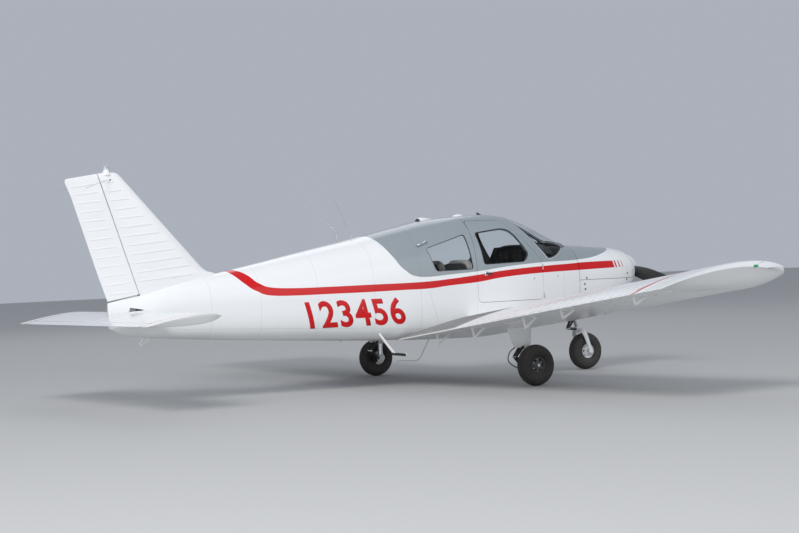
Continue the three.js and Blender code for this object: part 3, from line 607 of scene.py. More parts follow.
def beside(y, turn, proud):
    """The cabin's hull, stood proud by so much away from the cabin's middle line."""
    points = hull(y, turn, cabin_table)
    outward = points - np.stack([0 * y, y + axle_y, 0 * y + 1.1], -1)
    return points + proud * outward / np.linalg.norm(outward, axis=-1, keepdims=True)


def glass_surface(y, turn):
    """The hull, set in by the glass's depth below the skin."""
    return beside(y, turn, -glass_depth)


def pane(name, region, rows, columns, body, node):
    """One pane of glazing and the gasket round its edge."""
    made = skin(name, glass_surface, rows, columns, lambda p: region(p) - 0.004, [glazing], 0.004)
    fit(made, body, "panel_glass", node)
    edge = skin(name + "_gasket", glass_surface, np.arange(rows[0], rows[-1], 0.004),
                np.linspace(columns[0], columns[-1], round(2.6 * len(columns))),
                lambda p: np.maximum(region(p) - 0.001, -region(p) - 0.0065), [gasket], 0.007)
    edge.modifiers["wall"].offset = 0.2
    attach(edge, body)


left_side = np.linspace(-pi * 0.05, pi * 0.42, 80)
right_glass = np.linspace(pi * 0.58, pi * 1.05, 80)
front_rows, rear_rows, screen_rows = (
    np.arange(first, last, 0.010) for first, last in ((-0.74, -0.03), (0.01, 0.62), (-1.33, -0.62)))
for window, corners, rows, turns, body, node in (
        ("door_window", front_window, front_rows, right_glass, "cabin_door", "door_window"),
        ("window_left_front", front_window, front_rows, left_side, "airframe", "window_left_front"),
        ("window_left_rear", rear_window, rear_rows, left_side, "airframe", "window_left_rear"),
        ("window_right_rear", rear_window, rear_rows, right_glass, "airframe", "window_right_rear")):
    pane(window + "_pane", lambda p, corners=corners: outline(p, corners, 0.03), rows, turns, body, node)
pane("windscreen_left_pane", lambda p: np.maximum(windscreen(p), -p[..., 0]), screen_rows,
     np.linspace(0, pi * 0.5, 90), "airframe", "windshield_left")
pane("windscreen_right_pane", lambda p: np.maximum(windscreen(p), p[..., 0]), screen_rows,
     np.linspace(pi * 0.5, pi, 90), "airframe", "windshield_right")

# Tail cone: sheet wrapped round frames, lap-jointed and riveted, and a moulded tail cap over the
# tailplane's torque tube, with a slot on each side for it.
cone_end = 3.348
pivot_y, pivot_z = 3.745, 0.868


def cone_surface(y, turn):
    """The tail cone's part of the hull."""
    return hull(y, turn, cone_table)


cone = skin("tail_cone_skin", cone_surface, np.linspace(1.2308, cone_end, 72), around[::2],
            lambda p: np.abs(p[..., 1] - axle_y - 2.3) - 1.2, [body_paint], 0.004)
fit(cone, "airframe", "body_paint", "tail_cone")


cap_slot = [(3.792, 0.930), (3.786, 0.968), (3.652, 0.944), (3.652, 0.937)]


def cap_region(points):
    """The tail cap less the round hole for the tailplane's tube and the slot for its balance arm."""
    _, y, z = from_axle(points)
    hole = np.minimum(np.hypot(y - pivot_y, z - pivot_z) - 0.034, outline(points, cap_slot, 0.004))
    return np.maximum(np.abs(y - 3.67) - 0.325, -hole)


def cap_surface(y, turn):
    """The hull to the tail cap's end, and past it a rounded end that closes to the middle."""
    end = 3.990
    over = np.clip((y - end) / 0.02, 0, 1)
    points = hull(np.minimum(y, end), turn, cone_table)
    middle = np.array([0, end + axle_y, 0.9])
    return middle + (points - middle) * (1 - over)[..., None] * [1, 1, 1]


cap = skin("tail_cap_skin", cap_surface, np.concatenate([np.linspace(3.3476, 3.990, 54), [4.0, 4.01]]),
           around[::3], cap_region, [white_paint], 0.006)
fit(cap, "airframe", "wing_skin", "tail_fairing")


# Cowl: two moulded halves that part at a level split line, with a round-cornered air inlet on each
# side of the spinner and an outlet below.
cowl_table = np.array([
    [-2.410, 0.235, 1.010, 1.130, 1.250, 2.1, 2.1],
    [-2.380, 0.310, 0.945, 1.115, 1.290, 2.2, 2.2],
    [-2.300, 0.385, 0.885, 1.095, 1.342, 2.5, 2.4],
    [-2.170, 0.442, 0.820, 1.065, 1.372, 2.8, 2.6],
    [-1.950, 0.494, 0.740, 1.045, 1.390, 3.1, 2.8],
    [-1.400, 0.538, 0.627, 1.040, 1.434, 3.7, 2.9],
])
cowl_split = 1.030
thrust_z = 1.149


def cowl_surface(y, turn):
    """The cowl's hull, and ahead of its lip a front face that closes towards the shaft."""
    lip = cowl_table[0, 0]
    over = np.clip((lip - y) / 0.2, 0, 1)
    points = hull(np.maximum(y, lip), turn, cowl_table)
    middle = np.stack([0 * y, points[..., 1], 0 * y + thrust_z - 0.02], -1)
    inner = middle + (points - middle) * (1 - over)[..., None]
    return inner + np.stack([0 * y, 0 * y - 0.006 * np.sin(over * pi), 0 * y], -1)


def cowl_openings(points):
    """Distance to the shaft hole, the two inlets and the outlet, which cut the cowl."""
    x, y, z = from_axle(points)
    inlet = rounded(np.abs(x), z, [(0.115, 1.090), (0.245, 1.090), (0.245, 1.180), (0.115, 1.180)], 0.035)
    shaft = np.hypot(x, z - thrust_z) - 0.075
    ahead = np.where(y < -2.28, np.minimum(inlet, shaft), 1.0)
    outlet = rounded(np.abs(x), y, [(-0.2, -1.740), (0.2, -1.740), (0.2, -1.300), (-0.2, -1.300)], 0.04)
    return np.minimum(ahead, np.where(z < 0.8, outlet, 1.0))


seam_half = 0.0022
cowl_rows = np.concatenate([np.linspace(-2.60, -2.41, 22)[:-1], np.linspace(-2.41, -2.30, 16)[:-1],
                            np.linspace(-2.30, -1.407, 62)])
for half, sign, slot_name in (("upper", 1, "top_paint"), ("lower", -1, "body_paint")):
    def half_cowl(p, sign=sign):
        return np.maximum(seam_half - sign * (p[..., 2] - cowl_split), -cowl_openings(p))

    made = skin(f"cowl_{half}_skin", cowl_surface, cowl_rows, around, half_cowl, [body_paint, lining], 0.010)
    fit(made, "airframe", slot_name, "cowl_" + half)

# Wing: one riveted sheet-metal skin a side over spars and ribs, with a cove for the flap and the
# aileron along its rear and a moulded tip whose underside sweeps up to the top edge.
dihedral, wing_pitch, chord, wing_lead, wing_base = radians(7), 0.065, 1.600, -0.645, 0.446
hinge_y = 0.635
hinge_n = (wing_lead + chord - hinge_y) * wing_pitch + 0.020
nose_radius, cove_radius = 0.054, 0.060
# Columns: place along the span, retreat of the leading edge, rise of the lower skin, the share of
# the chord by which the nose is cut back to lift the tip's edge, and fall of the upper skin
tip_table = np.array([
    [0.400, 0, 0, 0, 0], [4.200, 0, 0, 0, 0], [4.300, 0, 0, 0, 0], [4.421, 0.008, 0.12, 0.002, 0.005],
    [4.501, 0.040, 0.33, 0.012, 0.02], [4.561, 0.120, 0.58, 0.035, 0.07], [4.607, 0.330, 0.79, 0.09, 0.18],
])


def half_thickness(t, share):
    """Half the thickness of a four-digit wing section at t of the chord."""
    t = np.clip(t, 0, 1)
    return 5 * share * (0.2969 * np.sqrt(t) - 0.126 * t - 0.3516 * t ** 2 + 0.2843 * t ** 3 - 0.1015 * t ** 4)


def wing_heights(s, y):
    """Heights of the wing's upper and lower skin above its plane at s along the span and y aft."""
    retreat, rise, cut, fall = table_at(s, tip_table)
    t = (y - wing_lead - retreat) / (chord - retreat)
    middle = (wing_lead + chord - y) * wing_pitch + 0.08 * t * (1 - t) * chord
    half = half_thickness(t + cut * (1 - t), 0.15) * chord
    lower = -half + np.clip(2 * half - 0.0064, 0, None) * rise
    return middle + half * (1 - 2 * fall), middle + lower


def wing_place(side, s, y, n):
    """A point of the wing in the aircraft's frame, from its place along, aft of and above the wing."""
    return np.stack([side * (s * cos(dihedral) - n * sin(dihedral)), y + axle_y,
                     s * sin(dihedral) + n * cos(dihedral) + wing_base], -1)


def spread(first, last, count):
    """Places from first to last, close together near both ends."""
    return first + (last - first) * (1 - np.cos(np.linspace(0, pi, count))) / 2


def rib(name, upper, lower, materials, thickness=0.002):
    """A flat rib that closes a skin: one face between an upper and a lower row of points."""
    ring = np.concatenate([upper, lower[::-1]])
    made = new_mesh(name, ring, [range(len(ring))], materials, smooth=False)
    walled(made, thickness, 0)
    return made


def strip(name, points, thickness, materials):
    """A thin curved sheet between two rows of points."""
    index = np.arange(points.shape[0] * points.shape[1]).reshape(points.shape[:2])
    quads = np.stack([index[:-1, :-1], index[1:, :-1], index[1:, 1:], index[:-1, 1:]], -1).reshape(-1, 4)
    made = new_mesh(name, points, quads, materials)
    walled(made, thickness, 0)
    return made


def wing_back(side, points):
    """The place along, aft of and above the wing of points in the aircraft's frame."""
    x, z = side * points[..., 0], points[..., 2] - wing_base
    return (x * cos(dihedral) + z * sin(dihedral), points[..., 1] - axle_y,
            z * cos(dihedral) - x * sin(dihedral))


def wing_surface(side):
    """The wing's skin: along the span, and round the section from the trailing edge over the top."""
    def surface(s, turn):
        retreat = table_at(s, tip_table)[0]
        t = (1 + np.cos(turn)) / 2
        y = wing_lead + retreat + t * (chord - retreat)
        high, low = wing_heights(s, y)
        return wing_place(side, s, y, np.where(turn < pi, high, low))
    return surface


flap_span, aileron_span, running_gap = (0.650, 2.690), (2.702, 4.372), 0.006


def cove(side, points):
    """Distance to the space that the flap and the aileron work in."""
    s, y, n = wing_back(side, points)
    behind = np.minimum(np.hypot(y - hinge_y, n - hinge_n) - cove_radius, hinge_y - y)
    ends = np.maximum(flap_span[0] - running_gap - s, s - aileron_span[1] - running_gap)
    return np.maximum(behind, ends)


sides = ((1, "left"), (-1, "right"))
wing_paint = {}
for side, word in sides:
    paint, shader = new_material("wing_paint_" + word)
    spot = spot_in(shader.id_data)
    across, aft, _ = parts(spot)
    across, aft = across * side, aft - axle_y
    on_top = edge(parts(node_signal(shader.id_data, "NewGeometry", "Normal"))[2])
    stripe = edge(0.028 - abs(across - (aft * 0.27 + 3.945))) * on_top
    # Ribs and two spars are riveted to the skin, as far as the moulded tip
    rib_pitch = 0.283
    heads = rivets((across + 0.02).math("PINGPONG", rib_pitch), aft)
    for spar in (-0.330, 0.055, 0.520):
        heads = most(heads, rivets(aft - spar, across))
    heads = heads * edge(4.25 - across)
    painted = mix_colour(heads * 0.22, mix_colour(stripe, white_colour, red_colour), (0.2, 0.2, 0.2))
    roughness, relief, coat = 0.2, heads * 0.6, paint_coat
    if side < 0:
        # Wing walk: a strip of gritty grey paint on top of the right wing's root and its flap
        walk = edge(1.42 - across) * edge(0.925 - aft) * edge(aft - 0.14) * on_top
        walk_colour = mix_colour(noise(spot, 9, 4), (0.22, 0.22, 0.22), (0.36, 0.36, 0.355))
        painted = mix_colour(walk, painted, walk_colour)
        roughness, coat = walk * 0.7 + roughness, walk * -0.2 + coat
        relief = relief + walk * noise(spot, 900, 2) * 0.4
    weathered(shader, painted, roughness, 0.04, 0.10, 0.0006, relief, coat)
    wing_paint[word] = paint
    surface = wing_surface(side)
    spans = np.concatenate([np.linspace(0.44, 4.30, 130)[:-1], np.linspace(4.30, 4.607, 34)])
    wing = skin("wing_" + word + "_skin", surface, spans, np.linspace(0, 2 * pi, 161),
                lambda p, side=side: np.maximum(-cove(side, p), abs(wing_back(side, p)[0] - 2.52) - 2.088),
                [paint], 0.003)
    fit(wing, "airframe", "wing_skin", "wing_" + word)
    # The cove's own wall, a hollow arc along the span in front of the flap and the aileron
    s, turn = grid([flap_span[0] - 0.006, aileron_span[1] + 0.006][::side],
                          np.linspace(pi * 0.5, pi * 1.5, 25))
    y = hinge_y + cove_radius * np.cos(turn)
    high, low = wing_heights(s, y)
    n = np.clip(hinge_n + cove_radius * np.sin(turn), low + 0.0015, high - 0.0015)
    wall = strip("wing_" + word + "_cove", wing_place(side, s, y, n), 0.002, [paint])
    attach(wall, "airframe")
    cove_front = hinge_y - 0.058
    for end, s, first in (("root", flap_span[0] - 0.0075, cove_front),
                          ("out", aileron_span[1] + 0.0075, cove_front), ("tip", 4.6062, wing_lead + 0.332)):
        y = spread(first, wing_lead + chord - 0.001, 40)
        high, low = wing_heights(np.full_like(y, s), y)
        high, low = high - 0.0008, np.minimum(low + 0.0008, high - 0.001)
        closing = rib(f"wing_{word}_{end}_rib", wing_place(side, 0 * y + s, y, high),
                      wing_place(side, 0 * y + s, y, low), [paint])
        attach(closing, "airframe")


# Flaps and ailerons: sheet folded round a hinge nose, stiffened by pressed beads that run aft.
def beads(s, places, width):
    """Height from 0 to 1 of beads with a rounded section at the given places."""
    near = np.abs(s[..., None] - places).min(-1) / width
    return np.clip(1 - near ** 2, 0, None) ** 2


def turns(count):
    """Directions spread evenly round a circle."""
    return np.arange(count) * 2 * pi / count


def loop(name, points, materials, closed_ends=True, wrap_rows=False):
    """A closed skin from rings of points: rows along the piece, or round it too, columns round it."""
    rows, columns = points.shape[:2]
    index = np.arange(rows * columns).reshape(rows, columns)
    if wrap_rows:
        index = np.concatenate([index, index[:1]])
        closed_ends = False
    a, b = index[:-1], index[1:]
    quads = np.stack([a, b, np.roll(b, -1, 1), np.roll(a, -1, 1)], -1).reshape(-1, 4).tolist()
    if closed_ends:
        quads.append(index[0].tolist())
        quads.append(index[-1][::-1].tolist())
    made = new_mesh(name, points, quads, materials)
    with edited(made.data) as work:
        bmesh.ops.remove_doubles(work, verts=work.verts, dist=1e-5)
        bmesh.ops.recalc_face_normals(work, faces=work.faces)
        for seam in work.edges:
            if len(seam.link_faces) == 2 and seam.calc_face_angle(0) > radians(40):
                seam.smooth = False
    return made


def fade(value, over):
    """0 to 1 as a value rises from 0 to over."""
    return np.clip(value / over, 0, 1)


bead_height = 0.0035
for side, word in sides:
    for kind, (first, last), count in (("flap", flap_span, 16), ("aileron", aileron_span, 13)):
        s = np.linspace(first, last, 330)
        places = np.linspace(first + 0.07, last - 0.07, count)
        y_top = spread(hinge_y - nose_radius, wing_lead + chord, 34)
        y = np.concatenate([y_top[::-1], y_top[1:]])
        s, y = grid(s, y)
        upper_skin = np.arange(y.shape[1]) < 34
        high, low = wing_heights(0 * s + 1.0, y)
        nose = np.where(y < hinge_y, np.sqrt(np.clip(nose_radius ** 2 - (y - hinge_y) ** 2, 0, None)), 9)
        window = fade(y - hinge_y - 0.02, 0.03) * fade(wing_lead + chord - 0.02 - y, 0.03)
        lift = bead_height * beads(s, places, 0.013) * window
        high, low = np.minimum(high, hinge_n + nose) + lift, np.maximum(low, hinge_n - nose) - lift
        n = np.where(upper_skin, high, low)
        made = loop(kind + "_" + word + "_skin", wing_place(side, s, y, n), [wing_paint[word]])
        fit(made, kind + "_" + word, "wing_skin", kind + "_" + word)

# Fin and rudder: sheet over ribs, with level beads pressed into both sides and a moulded tip.
# Columns: height, leading edge, trailing edge
fin_table = np.array([
    [1.040, 2.760, 3.990], [1.262, 2.788, 4.068], [1.272, 2.826, 4.072], [1.288, 2.892, 4.077],
    [1.311, 2.937, 4.085], [1.342, 2.974, 4.095], [2.230, 3.790, 4.380], [2.262, 3.822, 4.381],
    [2.277, 3.842, 4.376], [2.284, 3.875, 4.366],
])
top_fall, fall_from, fall_over = 0.15, 3.98, (2.05, 2.284)
rudder_foot, rudder_rake = (3.688, 1.100), np.arctan2(4.084 - 3.688, 2.275 - 1.100)
rudder_nose, rudder_cove = 0.034, 0.040
bead_slope = 0.087


def straight(at, table):
    """A table's later columns where its first is at, along straight lines."""
    return [np.interp(at, table[:, 0], column) for column in table.T[1:]]


def lowered(y, z):
    """Height with the top of the fin and rudder sloped down aft, by a share that fades out below."""
    low, high = fall_over
    return z - top_fall * np.clip(y - fall_from, 0, 1) * np.clip((z - low) / (high - low), 0, 1)


def behind_rudder_axis(y, z):
    """Distance aft of the rudder's raked hinge line."""
    return (y - rudder_foot[0]) * cos(rudder_rake) - (z - rudder_foot[1]) * sin(rudder_rake)


def fin_half(y, z):
    """Half the thickness of the fin and rudder at a place in side view."""
    lead, trail = straight(z, fin_table)
    return half_thickness((y - lead) / (trail - lead), 0.09) * (trail - lead)


def fin_surface(z, turn):
    """The fin's skin: height, and round the section from the trailing edge by the left side."""
    lead, trail = straight(z, fin_table)
    y = lead + (1 + np.cos(turn)) / 2 * (trail - lead)
    half = fin_half(y, z)
    window = fade(-behind_rudder_axis(y, z) - 0.06, 0.02) * fade(y - lead - 0.12, 0.02)
    half = half + 0.0042 * beads(z + bead_slope * (y - 3.6), np.linspace(1.228, 2.222, 12), 0.009) * window
    return np.stack([half * np.where(turn < pi, 1, -1), y + axle_y, lowered(y, z)], -1)


def fin_region(points):
    """The fin less the rudder's space."""
    x, y, z = from_axle(points)
    behind = behind_rudder_axis(y, z)
    return -np.minimum(np.hypot(x, behind) - rudder_cove, -behind)


fin_heights = np.concatenate([np.linspace(1.05, 2.23, 380)[:-1], np.linspace(2.23, 2.284, 12)])
fin = skin("fin_skin", fin_surface, fin_heights, around[::2], fin_region, [white_paint], 0.003)
fit(fin, "airframe", "wing_skin", "fin")

share = np.linspace(0, 1, 380)
z = np.broadcast_to((1.036 + share * (2.284 - 1.036))[:, None], (380, 61)).copy()
across = np.concatenate([np.linspace(1, 0, 31), np.linspace(0, 1, 31)[1:]])
for _ in range(8):
    front = rudder_foot[0] + (z - rudder_foot[1]) * tan(rudder_rake) - rudder_nose / cos(rudder_rake)
    trail = straight(z, fin_table)[1]
    y = front + (1 - np.cos(across * pi)) / 2 * (trail - front)
    base = np.interp(y, [3.60, 3.674, 3.995, 4.1], [1.108, 1.094, 1.036, 1.016])
    z = base + share[:, None] * (2.284 - base)
behind = behind_rudder_axis(y, z)
nose = np.where(behind < 0, np.sqrt(np.clip(rudder_nose ** 2 - behind ** 2, 0, None)), 9)
half = np.minimum(fin_half(y, z), nose)
window = fade(behind - 0.03, 0.02) * fade(trail - 0.03 - y, 0.02)
half = half + 0.0042 * beads(z + bead_slope * (y - 3.6), np.linspace(1.135, 2.232, 13), 0.009) * window
sign = np.where(np.arange(61) < 31, 1, -1)
rudder = loop("rudder_skin", np.stack([half * sign, y + axle_y, lowered(y, z)], -1), [white_paint])
fit(rudder, "rudder", "wing_skin", "rudder")

# Tailplane: one all-moving surface on a tube through the tail cap, with an anti-servo tab along
# its rear edge and a thin red stripe near each tip.
stab_lead, stab_chord, stab_pitch = 3.540, 0.760, radians(4.5)
tab_hinge_y = stab_lead + stab_chord - 0.110
tab_hinge_z = pivot_z - (tab_hinge_y - pivot_y) * tan(stab_pitch)
tab_nose, tab_cove, tab_half_span = 0.011, 0.017, 1.390
# Columns: distance from the middle, leading edge retreat, trailing edge lead, share of thickness
stab_table = np.array([
    [0.0, 0, 0, 1.0], [1.30, 0, 0, 1.0], [1.462, 0, 0, 1.0], [1.480, 0, 0, 0.80], [1.512, 0.003, 0.002, 0.30],
    [1.522, 0.010, 0.006, 0.10], [1.524, 0.016, 0.012, 0.05],
])
stab_share = 0.118


def stab_heights(x, y):
    """Middle height and half thickness of the tailplane at x across and y aft. Near the tip the
    underside sweeps up to the top."""
    lead, trail, thick = straight(np.abs(x), stab_table)
    t = (y - stab_lead - lead) / (stab_chord - lead - trail)
    full = half_thickness(t, stab_share) * stab_chord
    return pivot_z + (pivot_y - y) * tan(stab_pitch) + full * (1 - thick), full * thick


def stab_surface(x, turn):
    """The tailplane's skin: across, and round the section from the trailing edge over the top."""
    lead, trail, _ = straight(np.abs(x), stab_table)
    y = stab_lead + lead + (1 + np.cos(turn)) / 2 * (stab_chord - lead - trail)
    middle, half = stab_heights(x, y)
    return np.stack([x, y + axle_y, middle + np.where(turn < pi, half, -half)], -1)


def stab_region(points):
    """The tailplane less the notch for the tail cap and the tab's space."""
    x, y, z = from_axle(points)
    notch = np.maximum(np.abs(x) - 0.125, y - 4.060)
    behind = np.minimum(np.hypot(y - tab_hinge_y, z - tab_hinge_z) - tab_cove, tab_hinge_y - y)
    tab = np.maximum(behind, np.abs(x) - tab_half_span - 0.006)
    return -np.minimum(notch, tab)


stab_paint, shader = new_material("tailplane_paint")
across = parts(spot_in(shader.id_data))[0]
stripe = edge(0.012 - abs(abs(across) - 1.370))
weathered(shader, mix_colour(stripe, white_colour, red_colour), 0.2, 0.04, 0.10, 0.0006, coat=paint_coat)
half_places = np.concatenate([np.linspace(0.0, 1.46, 60)[:-1], np.linspace(1.46, 1.524, 17)])
stab = skin("stabilator_skin", stab_surface, np.concatenate([-half_places[:0:-1], half_places]),
            around[::2], stab_region, [stab_paint], 0.003)
fit(stab, "stabilator", "wing_skin", "stabilator")


def ride_on(pieces, body, slot_name):
    """Puts several pieces on one body; the slot name is not used."""
    for piece in pieces:
        fit(piece, body, slot_name)


def stab_rib(name, x, first, last):
    """A rib of the tailplane at x across, from y first to y last, just inside the skin."""
    y = spread(first, last, 40)
    middle, half = stab_heights(0 * y + x, y)
    half = np.maximum(half - 0.0012, 0.0004)
    place = np.stack([0 * y + x, y + axle_y, middle], -1)
    return rib(name, place + half[:, None] * [0, 0, 1], place - half[:, None] * [0, 0, 1], [stab_paint])


ribs = []
stab_trail = stab_lead + stab_chord
for side, word in sides:
    for at, x, first, last in (("tip", 1.5232, stab_lead + 0.016, stab_trail - 0.012),
                               ("root", 0.1265, stab_lead + 0.002, 4.060),
                               ("tab", tab_half_span + 0.0075, tab_hinge_y - 0.012, stab_trail - 0.001)):
        ribs.append(stab_rib(f"stab_{at}_rib_{word}", side * x, first, last))
x = np.array([-0.1265, 0.1265])
middle, half = stab_heights(x, np.full(2, 4.0612))
wall = np.stack([x, np.full(2, 4.0612 + axle_y), middle], -1)
reach = half[:, None] * [0, 0, 0.96]
ribs.append(rib("stab_notch_wall", wall + reach, wall - reach, [stab_paint]))
# The tab's cove, a hollow arc along the span
x, turn = grid([-tab_half_span - 0.006, tab_half_span + 0.006], np.linspace(pi * 0.5, pi * 1.5, 15))
y = tab_hinge_y + tab_cove * np.cos(turn)
middle, half = stab_heights(0 * x, y)
z = np.clip(tab_hinge_z + tab_cove * np.sin(turn), middle - half + 0.001, middle + half - 0.001)
ribs.append(strip("stab_tab_cove", np.stack([x, y + axle_y, z], -1), 0.0015, [stab_paint]))
ride_on(ribs, "stabilator", "wing_skin")
x = np.linspace(-tab_half_span, tab_half_span, 60)
y_top = spread(tab_hinge_y - tab_nose, stab_trail, 20)
x, y = grid(x, np.concatenate([y_top[::-1], y_top[1:]]))
middle, half = stab_heights(0 * x, y)
ahead = np.where(y < tab_hinge_y, np.sqrt(np.clip(tab_nose ** 2 - (y - tab_hinge_y) ** 2, 0, None)), 9)
half = np.minimum(half, ahead) * np.where(np.arange(x.shape[1]) < 20, 1, -1)
tab = loop("stabilator_tab_skin", np.stack([x, y + axle_y, middle + half], -1), [stab_paint])
fit(tab, "stabilator_tab", "wing_skin", "stabilator_tab")

# Landing gear: white-painted steel and castings, bright sliding tubes, and black scissor links.
def carried(name, path, profile, materials, aside, closed=False, ends=True):
    """A tube: at each point of the path stands the profile, (across, deep) for each point of the
    path or for all, with across along the vector aside made square to the path."""
    path, profile = np.asarray(path, float), np.asarray(profile, float)
    if profile.ndim == 2:
        profile = np.broadcast_to(profile, (len(path), *profile.shape))
    onward = np.roll(path, -1, 0) - np.roll(path, 1, 0) if closed else np.gradient(path, axis=0)
    onward /= np.linalg.norm(onward, axis=1, keepdims=True)
    aside = np.broadcast_to(np.asarray(aside, float), path.shape)
    aside = aside - (aside * onward).sum(1, keepdims=True) * onward
    aside /= np.linalg.norm(aside, axis=1, keepdims=True)
    deep = np.cross(onward, aside)
    points = path[:, None] + profile[..., :1] * aside[:, None] + profile[..., 1:] * deep[:, None]
    return loop(name, points, materials, closed_ends=ends and not closed, wrap_rows=closed)


def oval(across, deep, count=16):
    """Points of an ellipse about the origin."""
    turn = turns(count)
    return np.stack([across * np.cos(turn), deep * np.sin(turn)], -1)


def smooth_path(points, count):
    """Points spread along a smooth curve through the given ones."""
    points = np.asarray(points, float)
    gaps = np.linalg.norm(np.diff(points, axis=0), axis=1)
    along = np.concatenate([[0], np.cumsum(gaps)])
    return hermite(np.linspace(0, along[-1], count), along, points)


def turned(name, profile, centre, axis, materials, segments=64, ring=False):
    """A turned piece: a profile of (radius, place along the axis) carried round the axis and, unless
    the piece is a ring, closed to the axis at both ends."""
    profile = np.array(profile, float)
    if not ring:
        profile = np.concatenate([profile[:1] * [0, 1], profile, profile[-1:] * [0, 1]])
    axis = np.asarray(axis, float) / np.linalg.norm(axis)
    first = np.cross(axis, [0.0, 0.0, 1.0] if abs(axis[2]) < 0.9 else [1.0, 0.0, 0.0])
    first /= np.linalg.norm(first)
    second = np.cross(axis, first)
    turn = turns(segments)[:, None]
    radius, along = profile.T
    points = (np.asarray(centre) + (radius * np.cos(turn))[..., None] * first
              + (radius * np.sin(turn))[..., None] * second + (along + 0 * turn)[..., None] * axis)
    return loop(name, points, materials, closed_ends=False, wrap_rows=True)


gear_paint = plain("gear_paint", (0.84, 0.85, 0.85), 0.3, 0.15, 0.35, 0.001)
bright_tube = plain("bright_tube", (0.75, 0.76, 0.78), 0.12, 0.15, 0.2, 0.001, metallic=1.0)
black_steel = plain("black_steel", (0.03, 0.03, 0.033), 0.4, 0.3, 0.1, 0.002)
hose_rubber = plain("hose_rubber", (0.015, 0.015, 0.016), 0.6, 0.35, 0.1, 0.001)
tyre_rubber = plain("tyre_rubber", (0.022, 0.021, 0.021), 0.75, 0.5, 0.1, 0.003)
wheel_paint = plain("wheel_paint", (0.82, 0.83, 0.83), 0.35, 0.25, 0.35, 0.001)
# Main rims: dark grey, the shade that the wing casts on them painted into their colour; the nose wheel's rim
# is white paint
wheel_shade_grey = plain("wheel_shade_grey", (0.10, 0.105, 0.11), 0.45, 0.5, 0.4, 0.002)
disc_steel = plain("disc_steel", (0.42, 0.4, 0.38), 0.3, 0.2, 0.4, 0.001, metallic=1.0)

# Columns: radius and distance from the middle, from one bead over the crown to the other
tyre_half_profile = np.array([
    [0.0825, 0.050], [0.090, 0.0555], [0.104, 0.067], [0.125, 0.0745], [0.150, 0.0760], [0.172, 0.0705],
    [0.188, 0.0600], [0.199, 0.0440], [0.2065, 0.0220], [0.2100, 0.0],
])


def wheel(name, centre, body, outward, brake, finish):
    """Tyre, two-part cast rim with six lightening holes and bolts, hub, and the brake disc."""
    centre = np.array(centre)
    whole = np.concatenate([tyre_half_profile * [1, -1], tyre_half_profile[-2::-1]])
    along = np.concatenate([[0], np.cumsum(np.linalg.norm(np.diff(whole, axis=0), axis=1))])
    outside = hermite(np.linspace(0, along[-1], 150), along, whole)
    grooves = np.abs(np.abs(outside[:, 1])[:, None] - np.array([0.0, 0.019, 0.037])).min(1)
    outside[:, 0] -= 0.005 * ((grooves < 0.0028) & (outside[:, 0] > 0.19))
    inside = np.array([[0.0825, 0.046], [0.0825, -0.046]])
    tyre = turned(name + "_tyre_tread", np.concatenate([outside, inside]), centre, (1, 0, 0),
                  [tyre_rubber], 96, ring=True)
    fit(tyre, body, "tyre", name + "_tyre")
    barrel = np.array([
        [0.0700, 0.020], [0.0730, 0.040], [0.0755, 0.049], [0.0775, 0.0535], [0.0816, 0.052],
        [0.0820, 0.047], [0.0765, 0.037], [0.0735, 0.018]])
    barrel = np.concatenate([barrel[:5][::-1] * [1, -1], barrel, barrel[5:][::-1] * [1, -1]])
    rim = turned(name + "_rim_barrel", barrel, centre, (1, 0, 0), [finish], 72, ring=True)
    fit(rim, body, "rim", name + "_rim")
    pieces = []
    for face in (1, -1):
        shown = "out" if face == outward else "in"

        def web(radius, turn, face=face):
            depth = face * (0.026 + 0.010 * np.cos(np.clip((radius - 0.030) / 0.040, 0, 1) * pi))
            return centre + np.stack([depth, radius * np.cos(turn), radius * np.sin(turn)], -1)

        def holes(points):
            y, z = points[..., 1] - centre[1], points[..., 2] - centre[2]
            turn = turns(6)
            gap = np.hypot(y[..., None] - 0.051 * np.cos(turn), z[..., None] - 0.051 * np.sin(turn)).min(-1)
            return np.maximum(0.0115 - gap, 0.027 - np.hypot(y, z))

        pieces.append(skin(f"{name}_web_{shown}", web, np.linspace(0.0265, 0.0725, 26),
                           np.linspace(0, 2 * pi, 145), holes, [finish], 0.004))
        hub = np.array([[0.0175, 0.018], [0.0290, 0.020], [0.0285, 0.048], [0.0260, 0.0525], [0.0200, 0.0545],
                        [0.0175, 0.0545]])
        pieces.append(turned(f"{name}_hub_{shown}", hub * [1, face], centre, (1, 0, 0), [finish], 40,
                             ring=True))
        bolt = [[0.0055, 0], [0.0055, 0.0065], [0.0048, 0.0075]]
        for k in range(6):
            angle = (k + 0.5) * pi / 3
            spot = centre + np.array([face * 0.0225, 0.058 * cos(angle), 0.058 * sin(angle)])
            pieces.append(turned(f"{name}_bolt_{shown}_{k}", bolt, spot, (face, 0, 0), [bright_tube], 6))
    if brake:
        pieces.append(turned(name + "_brake_disc", [
            [0.045, -outward * 0.0665], [0.076, -outward * 0.0665], [0.076, -outward * 0.0610],
            [0.045, -outward * 0.0610]], centre, (1, 0, 0), [disc_steel], 64, ring=True))
    ride_on(pieces, body, "rim")


track_half, wheel_z, leg_inboard = 1.524, 0.210, 0.132
# The main wheels' rims carry the wing's painted shade; the nose wheel's rim is white paint
for side, word in sides:
    wheel("main_" + word, (side * track_half, axle_y, wheel_z), "main_wheel_" + word, side, True, wheel_shade_grey)
nose_axle_y = (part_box("nose_rim")[0][1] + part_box("nose_rim")[1][1]) / 2
wheel("nose", (0, nose_axle_y, wheel_z), "nose_wheel", -1, False, wheel_paint)

# Main legs: an upright oil-damped tube in a tapered sheet fairing under each wing, with scissor
# links behind it, a brake caliper on the disc and a looped brake hose.
# Columns: height, leading edge, trailing edge, half thickness of the fairing
fairing_table = np.array([
    [0.392, -0.028, 0.150, 0.040], [0.42, -0.034, 0.178, 0.044], [0.50, -0.042, 0.215, 0.046],
    [0.62, -0.052, 0.258, 0.046], [0.70, -0.058, 0.285, 0.046]])
